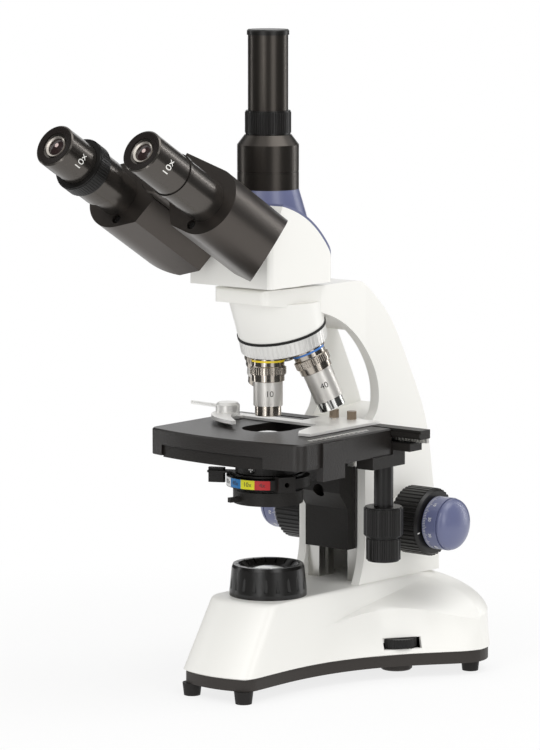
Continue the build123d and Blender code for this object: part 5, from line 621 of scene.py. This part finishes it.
for hand, side in HANDS:
    body = "wing_" + hand
    eye = at(side * WING_REACH * math.cos(WING_TURN), EYE_Y, EYE_Z)
    axis = place(eye, over, along)
    lathe("eye_dish_" + hand, axis, EYE_DISH, body, eye_face)
    lathe("eye_ring_" + hand, axis, EYE_RING, body, ring_bright)
    lathe("eye_lens_" + hand, axis, EYE_LENS, body, lens_dark)
    glint = eye + (over * GLINT_UP + X * GLINT_RIGHT) * MM
    lathe("eye_glint_" + hand, place(glint, over, along), EYE_GLINT, body, lens_glint)
    below = X * side * math.sin(WING_TURN) + over * math.cos(WING_TURN)
    seat = eye + along * SET_SCREW_SEAT * MM - below * SET_SCREW_DOWN * MM
    lathe("set_screw_" + hand, place(seat, over, -along), SET_SCREW, body, black_gloss,
          steps=SMALL_STEPS)
    mark_out = Matrix.Rotation(EYE_MARK_TURN, 3, along) @ X
    mark = place(eye + along * EYE_MARK_DEEP * MM, -along, mark_out)
    lettering("eye_mark_" + hand, "10x", EYE_LETTER, mark, EYE_MARK_R, body, mark_white)

# Fine focus: scale of a hundred steps on each knob's skirt, with a figure at every tenth
FOCUS = at(0, 105, 104.5)
KNOB_R, SCALE_STEPS, FIGURES = 18.0, 100, 10
STEP_HALF, STEP_IN, STEP_OUT, FIFTH_OUT = 0.12, 64.0, 66.0, 67.2
FIGURE_TURN, FIGURE_START, FIGURE_X, FIGURE_SIZE = 36, 1.8, 69.4, 3.0
SCALE_THICK = 0.04
for hand, side in HANDS:
    skirt = place(FOCUS, X * side, Z)
    marks = []
    for k in range(SCALE_STEPS):
        x = (k + 0.5) * 2 * math.pi * KNOB_R / SCALE_STEPS
        high = STEP_OUT if k % LONG_EVERY else FIFTH_OUT
        marks.append((x - STEP_HALF, x + STEP_HALF, STEP_IN, high))
    patches("fine_scale_" + hand, marks, skirt, KNOB_R, "fine", mark_white,
            thick=SCALE_THICK)
    figure_spot = FOCUS + X * side * FIGURE_X * MM
    for k in range(FIGURES):
        turn = Matrix.Rotation(math.radians(FIGURE_TURN * k + FIGURE_START), 4, X * side)
        lettering("fine_mark_%s_%d" % (hand, k), str(k * 10), FIGURE_SIZE,
                  place(figure_spot, X * side, turn @ Z), KNOB_R, "fine", mark_white)

# Coarse focus: white index line on each knob's face
INDEX_LINE, INDEX_X, INDEX_OUT = (-0.35, 0.35, 18.9, 21.4), 62.0, Vector((0, -0.966, -0.259))
for hand, side in HANDS:
    face = place(FOCUS + X * side * INDEX_X * MM, INDEX_OUT, X * side)
    patches("coarse_index_" + hand, [INDEX_LINE], face, None, "coarse", mark_white)

# Floor: glows white, apart from a share of matt surface round the object that takes its shadow.
# Sizes from here on are in metres.
FLOOR_REACH, FLOOR_SEGMENTS, FLOOR_DROP = 30.0, 96, 0.0001
FLOOR_COLOUR, FLOOR_ROUGH = (0.93, 0.93, 0.925), 0.8
FADE_NEAR, FADE_FAR = 0.22, 0.5
FLOOR_GLOW = 0.8
bm = bmesh.new()
bmesh.ops.create_circle(bm, cap_ends=True, radius=FLOOR_REACH, segments=FLOOR_SEGMENTS)
floor = linked("floor", mesh_from("floor", bm))
floor.location.z = -FLOOR_DROP
floor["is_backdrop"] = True
material, shader = plain("floor", FLOOR_COLOUR, FLOOR_ROUGH)
floor.data.materials.append(material)
nodes, links = material.node_tree.nodes, material.node_tree.links
glow = nodes.new("ShaderNodeEmission")
glow.inputs["Strength"].default_value = 1.0
coordinates = nodes.new("ShaderNodeTexCoord")
length = nodes.new("ShaderNodeVectorMath")
length.operation = "LENGTH"
fade = nodes.new("ShaderNodeMapRange")
fade.interpolation_type = "SMOOTHSTEP"
fade.inputs["From Min"].default_value = FADE_NEAR
fade.inputs["From Max"].default_value = FADE_FAR
fade.inputs["To Min"].default_value = FLOOR_GLOW
mix = nodes.new("ShaderNodeMixShader")
links.new(coordinates.outputs["Object"], length.inputs[0])
links.new(length.outputs["Value"], fade.inputs["Value"])
links.new(fade.outputs["Result"], mix.inputs["Fac"])
links.new(shader.outputs["BSDF"], mix.inputs[1])
links.new(glow.outputs["Emission"], mix.inputs[2])
links.new(mix.outputs["Shader"], nodes["Material Output"].inputs["Surface"])

# World: plain white to the camera, in reflections and through glass, and a softer light on the rest
WORLD_FILL = 0.55
world = bpy.data.worlds.new("studio")
bpy.context.scene.world = world
world.use_nodes = True
nodes, links = world.node_tree.nodes, world.node_tree.links
background = nodes["Background"]
background.inputs["Color"].default_value = (1, 1, 1, 1)
path = nodes.new("ShaderNodeLightPath")
seen = nodes.new("ShaderNodeMath")
seen.operation = "MAXIMUM"
clear = nodes.new("ShaderNodeMath")
clear.operation = "MAXIMUM"
strength = nodes.new("ShaderNodeMapRange")
strength.inputs["To Min"].default_value = WORLD_FILL
strength.inputs["To Max"].default_value = 1.0
links.new(path.outputs["Is Camera Ray"], seen.inputs[0])
links.new(path.outputs["Is Glossy Ray"], seen.inputs[1])
links.new(seen.outputs["Value"], clear.inputs[0])
links.new(path.outputs["Is Transmission Ray"], clear.inputs[1])
links.new(clear.outputs["Value"], strength.inputs["Value"])
links.new(strength.outputs["Result"], background.inputs["Strength"])


def softbox(name, spot, aim, size, power):
    """Square area light of a size in metres at a spot, turned to an aim point."""
    lamp = bpy.data.lights.new(name, "AREA")
    lamp.size = size
    lamp.energy = power
    obj = linked(name, lamp)
    obj.location = spot
    obj.rotation_euler = (Vector(aim) - Vector(spot)).to_track_quat("-Z", "Y").to_euler()
    return lamp


def round_about(degrees, reach):
    """Point at a distance from the middle of the set, counted from the front."""
    angle = math.radians(degrees)
    return Vector((math.sin(angle), -math.cos(angle), 0)) * reach


# Dark cards round the set that only reflections show, with bright gaps between them.
# Each is given by its first and last angle and its height.
CARD_REACH, CARD_STEPS = 0.8, 12
CARDS = ((28, 58, 0.8), (82, 140, 0.8), (172, 200, 0.8), (238, 285, 0.8), (297, 352, 1.7))
CARD_COLOUR, CARD_ROUGH = (0.05, 0.05, 0.05), 1.0
card_black = plain("card_black", CARD_COLOUR, CARD_ROUGH)[0]
for k, (first, last, tall) in enumerate(CARDS):
    bm = bmesh.new()
    rows = []
    for step in range(CARD_STEPS + 1):
        spot = round_about(first + (last - first) * step / CARD_STEPS, CARD_REACH)
        rows.append([bm.verts.new(spot), bm.verts.new(spot + Z * tall)])
    for here, there in zip(rows, rows[1:]):
        bm.faces.new((here[0], there[0], there[1], here[1]))
    card = linked("card_%d" % k, mesh_from("card_%d" % k, bm))
    card.data.materials.append(card_black)
    card.visible_camera = False
    card.visible_diffuse = False
    card.visible_shadow = False
    card.visible_transmission = False
    card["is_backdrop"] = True

# Tall strip lights that draw the bright lines on the round pieces, and three large soft lights
STRIP_REACH, STRIP_Z, STRIP_WIDE, STRIP_TALL, STRIP_AIM = 0.95, 0.32, 0.06, 0.7, (0, 0, 0.25)
STRIPS = (("strip_front", 14, 0.7), ("strip_rear", 156, 0.8), ("strip_side", 290, 0.5))
for name, angle, power in STRIPS:
    spot = round_about(angle, STRIP_REACH) + Z * STRIP_Z
    strip = softbox(name, spot, STRIP_AIM, STRIP_WIDE, power)
    strip.shape = "RECTANGLE"
    strip.size_y = STRIP_TALL
LAMP_AIM = (0, 0, 0.2)
LAMPS = (
    ("key", (-0.1, -1.6, 1.6), 0.9, 10),
    ("fill", (1.7, -0.7, 0.9), 1.2, 9),
    ("top", (0.7, 0.3, 1.8), 1.2, 11),
)
for name, spot, size, power in LAMPS:
    softbox(name, spot, LAMP_AIM, size, power)

# Camera: a long lens at the front right, looking slightly down
TURN, PITCH = math.radians(39.0), math.radians(7.667)
CAMERA_X, CAMERA_Y, CAMERA_Z = 1.6226, -2.0017, 0.5582
LENS, SENSOR = 187.2, 36
back = Vector((math.sin(TURN) * math.cos(PITCH), -math.cos(TURN) * math.cos(PITCH), math.sin(PITCH)))
right = Vector((math.cos(TURN), math.sin(TURN), 0))
camera_data = bpy.data.cameras.new("camera")
camera_data.sensor_width = SENSOR
camera_data.lens = LENS
camera = linked("camera", camera_data)
pose = Matrix((right, back.cross(right), back)).transposed().to_4x4()
pose.translation = Vector((CAMERA_X, CAMERA_Y + AXIS_Y, CAMERA_Z))
camera.matrix_world = pose
bpy.context.scene.camera = camera

bpy.context.scene.view_settings.view_transform = "Standard"

low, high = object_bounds()
